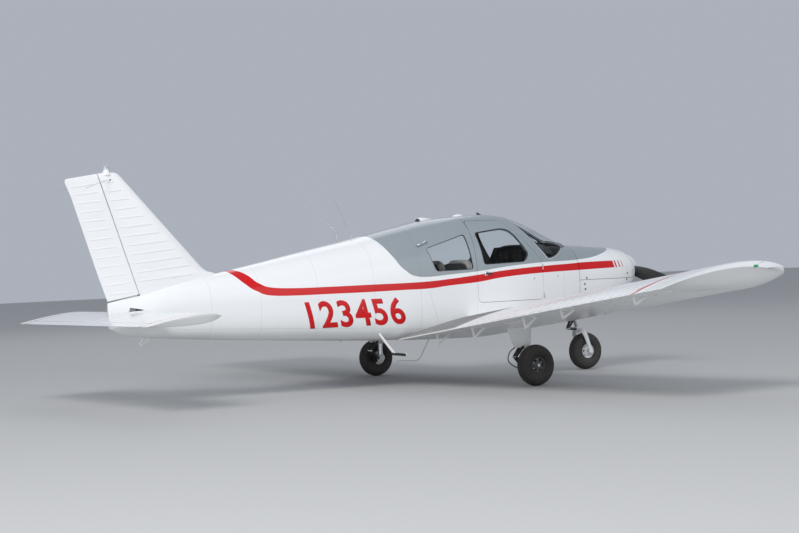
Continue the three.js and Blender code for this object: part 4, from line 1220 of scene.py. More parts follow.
# Scissor links: where their two ends and their knee stand behind the axle, and the height
link_ends, knee = {"lower": (0.055, 0.205), "upper": (0.055, 0.418)}, (0.162, 0.302)
for side, word in sides:
    x = side * (track_half - leg_inboard)
    height, turn = grid(np.linspace(0.392, 0.66, 30), turns(64))
    lead, trail, thick = table_at(height, fairing_table)
    t = (1 + np.cos(turn)) / 2
    out = thick * 2.6 * (np.sqrt(t) - t) * 1.55
    across = x + np.sign(np.sin(turn)) * np.minimum(out, thick)
    points = np.stack([across, lead + t * (trail - lead) + axle_y, height], -1)
    fairing = loop(f"leg_fairing_{word}", points, [white_paint])
    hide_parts("main_leg_" + word)
    leg, up, along_x = np.array([x, axle_y + 0.020, 0]), (0, 0, 1), (1, 0, 0)
    hub = np.array([x, axle_y, 0])
    pieces = [
        fairing,
        turned(f"leg_tube_{word}", [[0.027, 0.23], [0.027, 0.40]], leg, up, [bright_tube], 40),
        turned(f"leg_gland_{word}", [[0.036, 0.375], [0.040, 0.382], [0.040, 0.42]], leg, up, [gear_paint],
               40),
        turned(f"leg_foot_{word}", [[0.034, 0.165], [0.036, 0.168], [0.036, 0.235], [0.031, 0.250]], leg, up,
               [gear_paint], 40),
        turned(f"axle_{word}", [[0.040, 0], [0.040, 0.055], [0.030, 0.062], [0.0155, 0.066], [0.0155, 0.186],
                                [0.012, 0.191]], (x, axle_y, wheel_z), (side, 0, 0), [gear_paint], 40),
    ]
    for part, (y, z) in link_ends.items():
        for k, spread_x in enumerate((0.026, -0.026)):
            path = [(spread_x, y, z), (spread_x * 0.9, (y + knee[0]) / 2, (z + knee[1]) / 2),
                    (spread_x * 0.45, *knee)]
            pieces.append(carried(f"scissor_{part}_{word}_{k}", hub + smooth_path(path, 12),
                                  oval(0.011, 0.017, 20), [black_steel], along_x))
    for part, (y, z) in (("knee", knee), ("low", link_ends["lower"]), ("high", link_ends["upper"])):
        pieces.append(turned(f"scissor_pin_{part}_{word}", [[0.009, -0.036], [0.009, 0.036]],
                             hub + np.array([0, y, z]), along_x, [bright_tube], 16))
    for part, path, count, section, finish in (
            ("brake_hose", [(-0.030, 0.11, 0.41), (-0.038, 0.20, 0.34), (-0.030, 0.225, 0.27),
                            (-0.005, 0.170, 0.205), (0.030, 0.105, 0.185), (0.048, 0.075, 0.21)], 48,
             oval(0.0055, 0.0055, 10), hose_rubber),
            ("brake_caliper", [(0.066, 0.040, 0.165), (0.066, 0.068, 0.205), (0.066, 0.052, 0.252)], 14,
             oval(0.0165, 0.021, 24), black_steel)):
        pieces.append(carried(f"{part}_{word}", hub + smooth_path(path, count) * [side, 1, 1], section,
                              [finish], along_x))
    ride_on(pieces, "airframe", "leg_metal")

# Nose gear: a raked oil-damped tube from the firewall, a cast fork that steers in it, and scissor
# links between them.
nose_rake = radians(20)
strut_up = np.array([0, sin(nose_rake), cos(nose_rake)])
strut_aft = np.array([0, cos(nose_rake), -sin(nose_rake)])
nose_centre = np.array([0, nose_axle_y, wheel_z])


def nose_spot(x, along, aft=0.0):
    """A place on the nose gear: across, up along the strut from the axle, and square to it aft."""
    return nose_centre + np.array([x, 0, 0]) + strut_up * along + strut_aft * aft


strut = turned("nose_strut_housing", [[0.036, 0.430], [0.042, 0.436], [0.042, 0.470], [0.038, 0.476],
                                      [0.038, 0.880]], nose_centre, strut_up, [gear_paint], 48)
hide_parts("nose_strut")
mount_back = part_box("nose_strut")[1][1]
brace = carried("nose_strut_brace", [(0, mount_back - 0.19, 0.84), (0, mount_back - 0.001, 0.84)],
                oval(0.055, 0.036, 24), [gear_paint], (1, 0, 0))
steering = carried("steering_arm", [nose_spot(-0.10, 0.452, 0.0), nose_spot(0.10, 0.452, 0.0)],
                   oval(0.007, 0.016, 16), [black_steel], (0, 0, 1))
ride_on([strut, brace], "airframe", "leg_metal")

# Half of the fork's arch: distance from the middle, and place up along the strut
arch = np.array([(0.104, -0.004), (0.105, 0.06), (0.104, 0.14), (0.098, 0.205), (0.076, 0.250),
                 (0.040, 0.268), (0, 0.272)])
arch = np.concatenate([arch, arch[-2::-1] * [-1, 1]])
fork_path = smooth_path([nose_spot(x, along) for x, along in arch], 90)
reach = np.abs(np.linspace(-1, 1, 90))[:, None, None]
fork_section = oval(1, 1, 24)[None] * np.concatenate([0.036 - 0.017 * reach, 0.0155 + 0 * reach], -1)
fork = carried("nose_fork_casting", fork_path, fork_section, [gear_paint], strut_aft)
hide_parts("nose_fork")
pieces = [
    fork,
    turned("nose_slider", [[0.0295, 0.25], [0.0295, 0.4295]], nose_centre, strut_up, [bright_tube], 40),
    turned("nose_fork_boss", [[0.040, 0.235], [0.044, 0.245], [0.044, 0.295], [0.036, 0.312]], nose_centre,
           strut_up, [gear_paint], 40),
    turned("nose_axle", [[0.0155, -0.112], [0.0155, 0.112]], nose_centre, (1, 0, 0), [bright_tube], 24),
]
# Here the links' ends and knee are given up along the strut and square to it aft
link_ends, knee = {"lower": (0.285, 0.040), "upper": (0.405, 0.036)}, (0.335, 0.135)
for side, word in sides:
    foot = [[0.023, 0.088], [0.026, 0.092], [0.026, 0.112], [0.022, 0.116]]
    pieces.append(turned(f"nose_fork_end_{word}", foot, nose_centre, (side, 0, 0), [gear_paint], 40))
    for part, (a, b) in link_ends.items():
        path = [nose_spot(side * 0.028, a, b), nose_spot(side * 0.024, (a + knee[0]) / 2, (b + knee[1]) / 2),
                nose_spot(side * 0.012, *knee)]
        pieces.append(carried(f"nose_scissor_{part}_{word}", smooth_path(path, 10), oval(0.008, 0.014, 16),
                              [black_steel], (1, 0, 0)))
for part, at in (("knee", knee), ("low", link_ends["lower"]), ("high", link_ends["upper"])):
    pieces.append(turned(f"nose_scissor_pin_{part}", [[0.008, -0.036], [0.008, 0.036]], nose_spot(0, *at),
                         (1, 0, 0), [bright_tube], 16))
pieces.append(steering)
ride_on(pieces, "nose_fork", "leg_metal")

# Propeller: two forged aluminium blades, painted black, and a spun spinner over the hub.
propeller_y, spinner_back, spinner_tip, spinner_radius = -2.500, -2.440, -2.670, 0.150
propeller_turn = radians(14)
black_blade, shader = new_material("propeller_black")
worn = noise(spot_in(shader.id_data), 60, 5).ramp(9.0, -6.1)
weathered(shader, mix_colour(worn, (0.012, 0.012, 0.013), (0.2, 0.2, 0.2)), 0.35, 0.15, 0.1, 0.002)
# Columns: radius, chord, thickness, pitch in degrees
blade_table = np.array([
    [0.070, 0.100, 0.060, 60], [0.200, 0.130, 0.040, 42], [0.350, 0.150, 0.026, 32],
    [0.550, 0.145, 0.018, 24], [0.750, 0.125, 0.013, 19], [0.900, 0.090, 0.009, 16],
    [0.940, 0.040, 0.006, 15]])
radius, turn = grid(0.07 + 0.87 * np.sin(np.linspace(0, pi / 2, 90)), turns(48))
blade_chord, thick, pitch = table_at(radius, blade_table)
round_tip = np.sqrt(np.clip(1 - (np.clip(radius - 0.88, 0, None) / 0.0601) ** 2, 0, 1))
across = blade_chord / 2 * np.cos(turn) * np.maximum(round_tip, 0.02)
deep = thick / 2 * np.sin(turn) * np.where(np.sin(turn) > 0, 0.7, 1.0)
pitch = np.radians(pitch)
sideways = across * np.cos(pitch) - deep * np.sin(pitch)
lengthways = across * np.sin(pitch) + deep * np.cos(pitch)
for k in range(2):
    angle = propeller_turn + k * pi
    points = np.stack([radius * cos(angle) - sideways * sin(angle), propeller_y + axle_y + lengthways,
                       thrust_z + radius * sin(angle) + sideways * cos(angle)], -1)
    blade = loop(f"propeller_blade_{k}", points, [black_blade])
    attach(blade, "propeller")
    if k == 0:
        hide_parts("propeller")
hub = turned("propeller_hub", [[0.070, -0.030], [0.075, -0.026], [0.075, 0.046]],
             (0, propeller_y + axle_y, thrust_z), (0, 1, 0), [black_blade], 48)
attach(hub, "propeller")
share = np.linspace(0, 1, 40)
spinner_length = spinner_back - spinner_tip
nose_curve = np.stack([spinner_radius * (1 - (1 - share) ** 2) ** 0.85, spinner_length * 0.9 * share], -1)
groove = [[0.1485, 0.2085], [0.1485, 0.2100], [0.150, 0.2115], [0.150, spinner_length]]
profile = np.concatenate([nose_curve, groove])
spinner = turned("spinner_shell", profile, (0, spinner_tip + axle_y, thrust_z), (0, 1, 0), [white_paint], 96)
fit(spinner, "propeller", "wing_skin", "spinner")
screws = []
for k in range(10):
    angle = (k + 0.5) * pi / 5
    screws.append(turned(f"spinner_screw_{k}", [[0.004, 0], [0.0036, 0.0012], [0, 0.0016]],
                         (0.150 * cos(angle), spinner_tip + 0.220 + axle_y, thrust_z + 0.150 * sin(angle)),
                         (cos(angle), 0, sin(angle)), [bright_tube], 12))
ride_on(screws, "propeller", "wing_skin")

# Cabin furniture that keeps its CAD shape: carpeted floor, painted rear bulkhead, bright firewall
# sheet and the cast engine behind the cowl's inlets, with finned cylinders in front of it.
carpet, shader = new_material("carpet")
tuft = noise(spot_in(shader.id_data), 420, 2)
weathered(shader, mix_colour(tuft, (0.018, 0.02, 0.024), (0.07, 0.075, 0.085)), 0.85, 0.5, 0.2, 0.003, tuft)
zinc_primer = plain("zinc_primer", (0.16, 0.2, 0.12), 0.55, 0.3, 0.4, 0.002)
firewall_sheet = plain("firewall_sheet", (0.5, 0.5, 0.49), 0.35, 0.3, 0.5, 0.002, metallic=1.0)
cast_metal, shader = new_material("cast_metal", metallic=0.6)
oily = noise(spot_in(shader.id_data), 7, 5).ramp(3.0, -1.2)
weathered(shader, mix_colour(oily, (0.22, 0.22, 0.21), (0.05, 0.045, 0.04)), 0.45, 0.3, 0.5, 0.006)
for node, material in (("cabin_floor", carpet), ("bulkhead", zinc_primer), ("firewall", firewall_sheet),
                       ("engine_block", cast_metal)):
    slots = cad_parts[node].data.materials
    slots.clear()
    slots.append(material)
fins = np.arange(14)
fin_profile = np.stack([np.tile([0.052, 0.070, 0.070, 0.052], 14),
                        (fins[:, None] * 0.0105 + np.array([0.0, 0.001, 0.0032, 0.0042])).ravel()], -1)
cylinders = []
for side, word in sides:
    for part, x, profile, count in (("cylinder", 0.16, fin_profile, 40), (
            "rocker_cover", 0.31, [[0.058, 0], [0.060, 0.006], [0.056, 0.03], [0, 0.036]], 32)):
        cylinders.append(turned(f"{part}_{word}", profile, axle + [side * x, -2.215, 1.120], (side, 0, 0),
                                [cast_metal], count))
ride_on(cylinders, "airframe", "engine_metal")

# Seats: foam cushions in sewn cloth covers on pressed metal pans, two in front and a bench behind.
# Each pad is blown up as cloth before its channels are drawn in.
seat_cloth, shader = new_material("seat_cloth")
spot = spot_in(shader.id_data)
threads = node_signal(shader.id_data, "TexWave", 1, Vector=spot, Scale=110.0, Distortion=1.5)
weave = threads * noise(spot, 700, 2)
cloth_colour = mix_colour(noise(spot, 5, 4), (0.48, 0.46, 0.43), (0.62, 0.6, 0.56))
weathered(shader, mix_colour(weave, cloth_colour, (0.3, 0.29, 0.28)), 0.8, 0.1, 0.1, 0.001, weave)
shader.inputs["Sheen Weight"].default_value = 0.25
seat_shell = plain("seat_shell", (0.09, 0.09, 0.1), 0.5, 0.25, 0.1, 0.002)


def signed_power(value, power):
    """The value's size to a power, with its sign kept."""
    return np.sign(value) * np.abs(value) ** power


def rounded_block(name, half, materials, square=0.35, crown=0.5, rows=30, columns=72):
    """A block with rounded sides: x, y and z are the half sizes times cos^crown cos^square,
    cos^crown sin^square and sin^crown of the two angles."""
    rise, turn = grid(np.linspace(-pi / 2, pi / 2, rows), turns(columns))
    flat = np.cos(rise) ** crown
    points = np.stack([half[0] * flat * signed_power(np.cos(turn), square),
                       half[1] * flat * signed_power(np.sin(turn), square),
                       half[2] * signed_power(np.sin(rise), crown)], -1)
    return loop(name, points, materials, closed_ends=False)


def baked(made):
    """Makes an object's modified mesh its own."""
    graph = bpy.context.evaluated_depsgraph_get()
    mesh = bpy.data.meshes.new_from_object(made.evaluated_get(graph))
    made.modifiers.clear()
    made.data = mesh
    mesh.polygons.foreach_set("use_smooth", np.full(len(mesh.polygons), True))


def corners_of(mesh):
    """A mesh's points as an array."""
    flat = np.empty(len(mesh.vertices) * 3)
    mesh.vertices.foreach_get("co", flat)
    return flat.reshape(-1, 3)


def placed(made, points, centre, lean):
    """Sets a mesh's points, leant aft about X and moved to a place."""
    turned_points = points @ np.array([[1, 0, 0], [0, cos(lean), sin(lean)], [0, -sin(lean), cos(lean)]])
    made.data.vertices.foreach_set("co", (turned_points + centre).ravel())
    made.data.update()


# Name, centre from the main axle, half sizes, lean, channels across x, channels across y, node
back_lean, cushion_lean = radians(72), radians(5)
pads = []
for name, x in (("seat_left", 0.265), ("seat_right", -0.265)):
    pads += [
        (name + "_cushion", (x, -0.310, 0.812), (0.212, 0.240, 0.058), cushion_lean, (-0.11, 0.11),
         (-0.08, 0.08), name),
        (name + "_back", (x, -0.040, 1.085), (0.212, 0.238, 0.046), back_lean, (-0.11, 0.11), (0.0,), None)]
pads += [
    ("bench_cushion", (0, 0.575, 0.812), (0.420, 0.165, 0.058), cushion_lean, (-0.14, 0.0, 0.14), (),
     "rear_bench"),
    ("bench_back", (0, 0.820, 1.075), (0.400, 0.225, 0.046), back_lean, (-0.14, 0.0, 0.14), (0.0,), None)]
stuffed = []
for name, centre, half, lean, across_lines, along_lines, node in pads:
    pad = rounded_block(name, half, [seat_cloth])
    remesh = pad.modifiers.new("remesh", "REMESH")
    remesh.mode = "VOXEL"
    remesh.voxel_size = 0.0085
    baked(pad)
    stuffed.append(pad)
pad_starts = [corners_of(pad.data) for pad in stuffed]
pad_cap = 0.012
for pad in stuffed:
    cloth = pad.modifiers.new("cloth", "CLOTH")
    cloth.settings.use_pressure = True
    cloth.settings.uniform_pressure_force = 4
    cloth.settings.effector_weights.gravity = 0
    cloth.point_cache.frame_start = 1
    cloth.point_cache.frame_end = 20
for step in range(1, 21):
    bpy.context.scene.frame_set(step)
graph = bpy.context.evaluated_depsgraph_get()
blown = [corners_of(pad.evaluated_get(graph).data) for pad in stuffed]
for pad, start, end in zip(stuffed, pad_starts, blown):
    shift = end - start
    size = np.linalg.norm(shift, axis=1, keepdims=True)
    pad.modifiers.clear()
    held = start + shift * np.minimum(1, pad_cap / np.maximum(size, 1e-6))
    pad.data.vertices.foreach_set("co", held.ravel())
    pad.data.update()
bpy.context.scene.frame_set(1)
for pad, (name, centre, half, lean, across_lines, along_lines, node) in zip(stuffed, pads):
    smooth = pad.modifiers.new("smooth", "SUBSURF")
    smooth.levels = smooth.render_levels = 1
    baked(pad)
    points = corners_of(pad.data)
    face = np.clip(points[:, 2] / half[2], 0, 1) ** 0.5
    crease = np.zeros(len(points))
    for k, lines in ((0, across_lines), (1, along_lines)):
        for line in lines:
            crease = np.maximum(crease, np.exp(-((points[:, k] - line) / 0.007) ** 2))
    points[:, 2] -= 0.010 * crease * face
    rim = np.exp(-((points[:, 2] - 0.45 * half[2]) / 0.005) ** 2) * (1 - crease)
    points[:, :2] *= 1 - 0.014 * rim[:, None]
    placed(pad, points, np.array(centre) + [0, axle_y, 0], lean)
    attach(pad, "airframe")
    if node:
        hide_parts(node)
shells = []
for name, x, width in (("seat_left", 0.265, 0.205), ("seat_right", -0.265, 0.205), ("bench", 0.0, 0.405)):
    deep, pan_y, shell_y = (0.150, 0.575, 0.868) if name == "bench" else (0.225, -0.310, 0.012)
    base = rounded_block(name + "_pan", (width, deep, 0.068), [seat_shell], 0.25, 0.25)
    placed(base, corners_of(base.data), axle + [x, pan_y, 0.690], 0.0)
    shell = rounded_block(name + "_shell", (width, 0.225, 0.012), [seat_shell], 0.3, 0.35)
    placed(shell, corners_of(shell.data), axle + [x, shell_y, 1.055], back_lean)
    shells += [base, shell]
ride_on(shells, "airframe", "seat_cloth")

# Instrument panel: black crackle sheet under a padded glareshield, with dials in black bezels, a
# radio stack, and a control yoke each side on a tube.
crackle, shader = new_material("crackle_black")
grain = noise(spot_in(shader.id_data), 500, 3)
weathered(shader, (0.022, 0.023, 0.026), 0.6, 0.25, 0.0, 0.002, grain)
dial_face = plain("dial_face", (0.01, 0.01, 0.011), 0.35, 0.1, 0.0, 0.0005)
dial_white = plain("dial_white", (0.8, 0.8, 0.76), 0.5, 0.1, 0.0, 0.0005)
panel_y = -0.930


def panel_surface(x, z):
    """The panel's flat face, across and up."""
    return np.stack([x, 0 * x + panel_y + axle_y, z], -1)


panel_corners = [(-0.485, 1.000), (0.485, 1.000), (0.485, 1.300), (0.40, 1.425), (-0.40, 1.425),
                 (-0.485, 1.300)]
board = skin("instrument_board", panel_surface, np.linspace(-0.50, 0.50, 90), np.linspace(0.99, 1.44, 44),
             lambda p: rounded(p[..., 0], p[..., 2], panel_corners, 0.02), [crackle], 0.004)
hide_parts("instrument_panel")
share = np.linspace(-1, 1, 61)
arch = np.stack([0.445 * share, 1.446 - 0.115 * np.abs(share) ** 3.2], -1)
underside = arch[::-1] * [0.985, 1] - [0, 0.022]
ring = np.concatenate([arch, underside])
rows = [np.stack([ring[:, 0] * narrow, np.full(len(ring), y + axle_y), ring[:, 1]], -1)
        for y, narrow in ((-1.185, 0.80), (-1.150, 0.90), (-1.080, 0.965), (-0.980, 1.0), (-0.915, 1.0),
                          (-0.905, 0.99))]
panel_pieces = [board, loop("glareshield", np.array(rows), [crackle])]


def dial(name, x, z, radius, needle_turn):
    """A round instrument: bezel, sunk face, twelve marks and a needle."""
    centre = np.array([x, panel_y + axle_y, z])
    inner = radius - 0.007
    bezel = turned(name + "_bezel", [[radius, 0], [radius, 0.008], [radius - 0.003, 0.010], [inner, 0.006],
                                     [inner, 0]], centre, (0, 1, 0), [black_steel], 40, ring=True)
    face = turned(name + "_face", [[inner, 0.001], [inner, 0.003]], centre, (0, 1, 0), [dial_face], 40)
    turn = np.append(np.arange(12) * pi / 6, needle_turn)
    inner = np.append(np.full(12, radius * 0.66), 0.0)
    outer = np.append(np.full(12, radius * 0.80), radius * 0.70)
    wide = np.append(np.full(12, 0.0012), 0.0018)
    along = np.stack([np.sin(turn), np.zeros(13), np.cos(turn)], -1)
    aside = np.stack([np.cos(turn), np.zeros(13), -np.sin(turn)], -1)
    corners = [centre + [0, lift, 0] + along * reach[:, None] + aside * (sign * wide)[:, None]
               for lift in (0.0032, 0.0040)
               for reach, sign in ((inner, -1), (inner, 1), (outer, 1), (outer, -1))]
    box_faces = [[0, 1, 2, 3], [7, 6, 5, 4], [0, 4, 5, 1], [1, 5, 6, 2], [2, 6, 7, 3], [3, 7, 4, 0]]
    faces = (np.arange(13)[:, None, None] * 8 + np.array(box_faces)).reshape(-1, 4)
    marks = new_mesh(name + "_marks", np.stack(corners, 1), faces, [dial_white], smooth=False)
    with edited(marks.data) as work:
        bmesh.ops.recalc_face_normals(work, faces=work.faces)
    return [bezel, face, marks]


for row, z in enumerate((1.330, 1.225)):
    for column, x in enumerate((0.365, 0.265, 0.165)):
        panel_pieces += dial(f"dial_{row}_{column}", x, z, 0.043, 0.9 * row + 1.3 * column)
for row, z in enumerate((1.340, 1.270, 1.200)):
    panel_pieces += dial(f"small_dial_{row}", -0.250, z, 0.029, 0.6 + 0.8 * row)
    panel_pieces += dial(f"engine_dial_{row}", -0.330, z, 0.029, 2.1 - 0.7 * row)
for row, (z, tall) in enumerate(((1.365, 0.019), (1.318, 0.022), (1.262, 0.028), (1.200, 0.028))):
    radio = rounded_block(f"radio_{row}", (0.082, 0.012, tall), [dial_face], 0.2, 0.2, 20, 48)
    placed(radio, corners_of(radio.data), np.array([-0.060, panel_y + axle_y + 0.004, z]), 0.0)
    panel_pieces.append(radio)
    for k, x in enumerate((-0.125, 0.005)):
        panel_pieces.append(turned(f"radio_knob_{row}_{k}", [[0.009, 0], [0.008, 0.014], [0, 0.015]],
                                   (x, panel_y + axle_y + 0.015, z), (0, 1, 0), [black_steel], 24))
half_grip = np.array([(0.118, 1.198), (0.124, 1.165), (0.104, 1.134), (0.05, 1.128), (0, 1.127)])
grip = smooth_path([(x, -0.859, z) for x, z in [*half_grip * [-1, 1], *half_grip[-2::-1]]], 60)
for side, word in sides:
    yoke = axle + [side * 0.260, 0, 0]
    panel_pieces += [
        turned("yoke_tube_" + word, [[0.014, 0], [0.014, 0.060]], yoke + [0, -0.930, 1.130], (0, 1, 0),
               [bright_tube], 24),
        carried("yoke_" + word, yoke + grip, oval(0.0125, 0.0155, 20), [crackle], (0, 1, 0)),
        turned("yoke_hub_" + word, [[0.034, 0], [0.036, 0.012], [0.030, 0.024], [0, 0.026]],
               yoke + [0, -0.873, 1.130], (0, 1, 0), [crackle], 40)]
ride_on(panel_pieces, "airframe", "cabin_lining")

# Side figures: plain red figures, painted through a stencil on both sides of the tail cone.
red_paint = plain("red_paint", red_colour, 0.22, 0.05, 0.1, 0.001, coat=paint_coat, specular=red_specular)


def hull_width(y, z, table):
    """Half width of a hull at a place in side view."""
    half, bottom, waist, top, low, high = table_at(np.clip(y, table[0, 0], table[-1, 0]), table)
    power = np.where(z > waist, high, low)
    reach = np.where(z > waist, top - waist, waist - bottom)
    return half * np.clip(1 - (np.abs(z - waist) / reach) ** power, 0, 1) ** (1 / power)


def on_hull(side, y, z, proud=0.0):
    """A point on the hull's side at a place in side view, stood proud of it by so much."""
    aft = np.where(y < 1.231, hull_width(y, z, cabin_table), hull_width(y, z, cone_table))
    x = np.where(y < cowl_table[-1, 0], hull_width(y, z, cowl_table), aft)
    return np.stack([side * (x + proud), y + axle_y, z], -1)


figures_y, figures_z, figures_lean = (0.870, 1.940), (0.665, 0.948), 0.080
lettering = bpy.data.curves.new("figures", "FONT")
lettering.body = "123456"
lettering.offset = 0.026
lettering.space_character = 1.12
lettering.resolution_u = 8
written = bpy.data.objects.new("figures", lettering)
bpy.context.scene.collection.objects.link(written)
stencil = bpy.data.meshes.new_from_object(written.evaluated_get(bpy.context.evaluated_depsgraph_get()))
bpy.data.objects.remove(written)
low, high = corners_of(stencil).min(0), corners_of(stencil).max(0)
with edited(stencil) as work:
    for axis, count in ((Vector((1, 0, 0)), 30), (Vector((0, 1, 0)), 14)):
        for cut in np.linspace(axis.dot(Vector(low)), axis.dot(Vector(high)), count)[1:-1]:
            bmesh.ops.bisect_plane(work, geom=work.verts[:] + work.edges[:] + work.faces[:],
                                   plane_co=axis * cut, plane_no=axis)
    bmesh.ops.triangulate(work, faces=work.faces)
    bmesh.ops.remove_doubles(work, verts=work.verts, dist=1e-5)
flat = (corners_of(stencil) - low) / np.maximum(high - low, 1e-9)
for side, word in sides:
    along = flat[:, 0] if side > 0 else 1 - flat[:, 0]
    y = figures_y[0] + along * (figures_y[1] - figures_y[0]) + figures_lean * flat[:, 1]
    z = figures_z[0] + flat[:, 1] * (figures_z[1] - figures_z[0])
    figures = bpy.data.objects.new("figures_" + word, stencil.copy())
    bpy.context.scene.collection.objects.link(figures)
    figures.data.vertices.foreach_set("co", on_hull(side, y, z, 0.0012).ravel())
    figures.data.materials.clear()
    figures.data.materials.append(red_paint)
    figures.data.update()
    walled(figures, 0.0009)
    ride_on([figures], "airframe", "body_paint")

# Beacon: a spun white base screwed to the fin's moulded tip, with a clear ribbed dome over the lamp.
clear_dome, shader = new_material("clear_dome", (0.9, 0.92, 0.94), 0.12)
shader.inputs["Transmission Weight"].default_value = 0.75
shader.inputs["IOR"].default_value = 1.3
tree = shader.id_data
ribbing = node_signal(tree, "TexWave", 1, Vector=spot_in(tree), Scale=60.0)
ribbing.socket.node.bands_direction = "Z"
give(node_signal(tree, "Bump", "Normal", Distance=0.001, Height=ribbing), shader.inputs["Normal"])
give(ribbing * 0.1 + 0.08, shader.inputs["Roughness"])
beacon_centre = (0, 3.953 + axle_y, 0)
base = turned("beacon_base", [[0.044, 2.262], [0.040, 2.276], [0.032, 2.290], [0.029, 2.304],
                              [0.029, 2.312]], beacon_centre, (0, 0, 1), [white_paint], 48)
dome_rise = np.linspace(0, pi / 2, 10)
dome_profile = np.stack([0.024 * np.cos(dome_rise), 2.342 + 0.026 * np.sin(dome_rise)], -1)
dome = turned("beacon_dome", np.concatenate([[[0.026, 2.3125], [0.0265, 2.318]], dome_profile]),
              beacon_centre, (0, 0, 1), [clear_dome], 48)
band = turned("beacon_band", [[0.0267, 2.310], [0.0285, 2.311], [0.0285, 2.317], [0.0267, 2.318]],
              beacon_centre, (0, 0, 1), [bright_tube], 48, ring=True)
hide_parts("beacon")
ride_on([base, dome, band], "airframe", "lamp_red")

# Whisker aerials: two thin sprung rods that stand out aft from the fin, below its tip.
whiskers = []
path = smooth_path([(0.012, 3.915, 2.215), (0.12, 4.03, 2.195), (0.27, 4.19, 2.158),
                    (0.40, 4.335, 2.118)], 24)
for side, word in sides:
    whiskers += [
        carried("whisker_" + word, axle + path * [side, 1, 1], oval(0.0036, 0.0036, 8), [bright_tube],
                (0, 0, 1)),
        turned("whisker_boss_" + word, [[0.011, 0], [0.009, 0.012], [0.004, 0.022]],
               axle + [side * 0.014, 3.915, 2.215], (side * 0.6, 0.6, -0.1), [black_steel], 24)]
ride_on(whiskers, "airframe", "aerial_metal")

# Tail tie-down: a plate with an eye, bent from bar, bolted under the tail cone.
ring_outline = np.array([(3.520, 0.672), (3.632, 0.690), (3.688, 0.602), (3.680, 0.584), (3.662, 0.582)])
hole_outline = np.array([(3.592, 0.648), (3.622, 0.654), (3.655, 0.612), (3.648, 0.602)])


def ring_face(y, z):
    """The plate's flat face in side view."""
    return np.stack([0 * y + 0.004, y + axle_y, z], -1)


ring_plate = skin("tail_tie_plate", ring_face, np.linspace(3.50, 3.70, 90), np.linspace(0.57, 0.70, 60),
                  lambda p: np.maximum(outline(p, ring_outline, 0.008), -outline(p, hole_outline, 0.006)),
                  [gear_paint], 0.008)
ring_bolts = [turned(f"tail_tie_bolt_{k}", [[0.008, -0.009], [0.008, 0.009]],
                     (0, y + axle_y, z), (1, 0, 0), [bright_tube], 6)
              for k, (y, z) in enumerate(((3.560, 0.668), (3.610, 0.672)))]
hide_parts("tail_ring")
ride_on([ring_plate, *ring_bolts], "airframe", "aerial_metal")

# Roof fittings: a moulded fresh-air scoop that opens aft, its mouth a thin black sheet of painted shade, a
# low aerial, and a thermometer stub.
def shell_on_roof(name, y, half, rise, materials, columns=25, sink=0.006):
    """A blister on the roof: at each y an arch half wide and rise high over the roof's line,
    half cos(turn) across and rise sin(turn)^0.8 up, closed below the skin."""
    turn = np.linspace(0, pi, columns)
    y, turn = grid(y, turn)
    x = half[:, None] * np.cos(turn)
    roof = table_at(y, cabin_table)[3] - 0.02 * (x / 0.1) ** 2
    z = roof - sink + (rise[:, None] + sink) * np.sin(turn) ** 0.8
    return loop(name, np.stack([x, y + axle_y, z], -1), materials)


y = np.linspace(0.190, 0.362, 30)
swell = np.sin((y - 0.190) / 0.172 * pi / 2)
vent_half, vent_rise = 0.026 + 0.032 * swell, 0.004 + 0.030 * swell ** 1.4
vent = shell_on_roof("roof_scoop", y, vent_half, vent_rise, [white_paint])
# The scoop's mouth: a thin black sheet at its closed aft end, painted shade for the dark inside of the
# opening
mouth_shade = shell_on_roof("roof_scoop_mouth", np.array([0.3622, 0.3632]), vent_half[-2:] * 0.86,
                      vent_rise[-2:] * 0.80, [black_steel])
y = np.linspace(-0.232, -0.100, 30)
swell = np.sin(np.clip((y + 0.232) / 0.132, 0.02, 0.98) * pi)
puck = shell_on_roof("roof_aerial_blister", y, 0.037 * swell ** 0.55, 0.019 * swell ** 0.45, [white_paint])
stub = shell_on_roof("roof_stub", np.linspace(-0.480, -0.424, 14), np.full(14, 0.008),
                     np.linspace(0.006, 0.032, 14), [black_steel])
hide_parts("roof_vent")
ride_on([vent, mouth_shade, puck, stub], "airframe", "top_paint")

# Rod aerials: tapered steel rods in white insulators on the deck behind the cabin, and one below.
aerials = []
for name, points, radii, node in (
        ("aerial_rod_front", [(0, 1.168, 1.515), (0, 1.290, 1.778), (0, 1.420, 2.058)], (0.005, 0.0026),
         ["aerial_front"]),
        ("aerial_rod_rear", [(0, 1.372, 1.475), (0, 1.384, 1.570), (0, 1.395, 1.663), (0, 1.408, 1.674),
                             (0, 1.580, 1.798), (0, 1.758, 1.927)], (0.005, 0.003), ["aerial_rear"]),
        ("belly_rod", [(0, 0.258, 0.490), (0, 0.330, 0.372), (0, 0.405, 0.262), (0, 0.425, 0.250),
                       (0, 0.560, 0.251), (0, 0.692, 0.254)], (0.0045, 0.003), [])):
    rod_path = axle + smooth_path(points, 60)
    radius = np.linspace(*radii, 60)[:, None, None]
    rod = carried(name, rod_path, oval(1, 1, 10) * radius, [bright_tube], (1, 0, 0))
    foot = turned(name + "_insulator", [[0.017, -0.012], [0.015, 0.010], [0.009, 0.028], [0.0065, 0.045]],
                  rod_path[0], rod_path[3] - rod_path[0], [white_paint], 32)
    if node:
        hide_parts(*node)
    aerials += [rod, foot]
ride_on(aerials, "airframe", "aerial_metal")

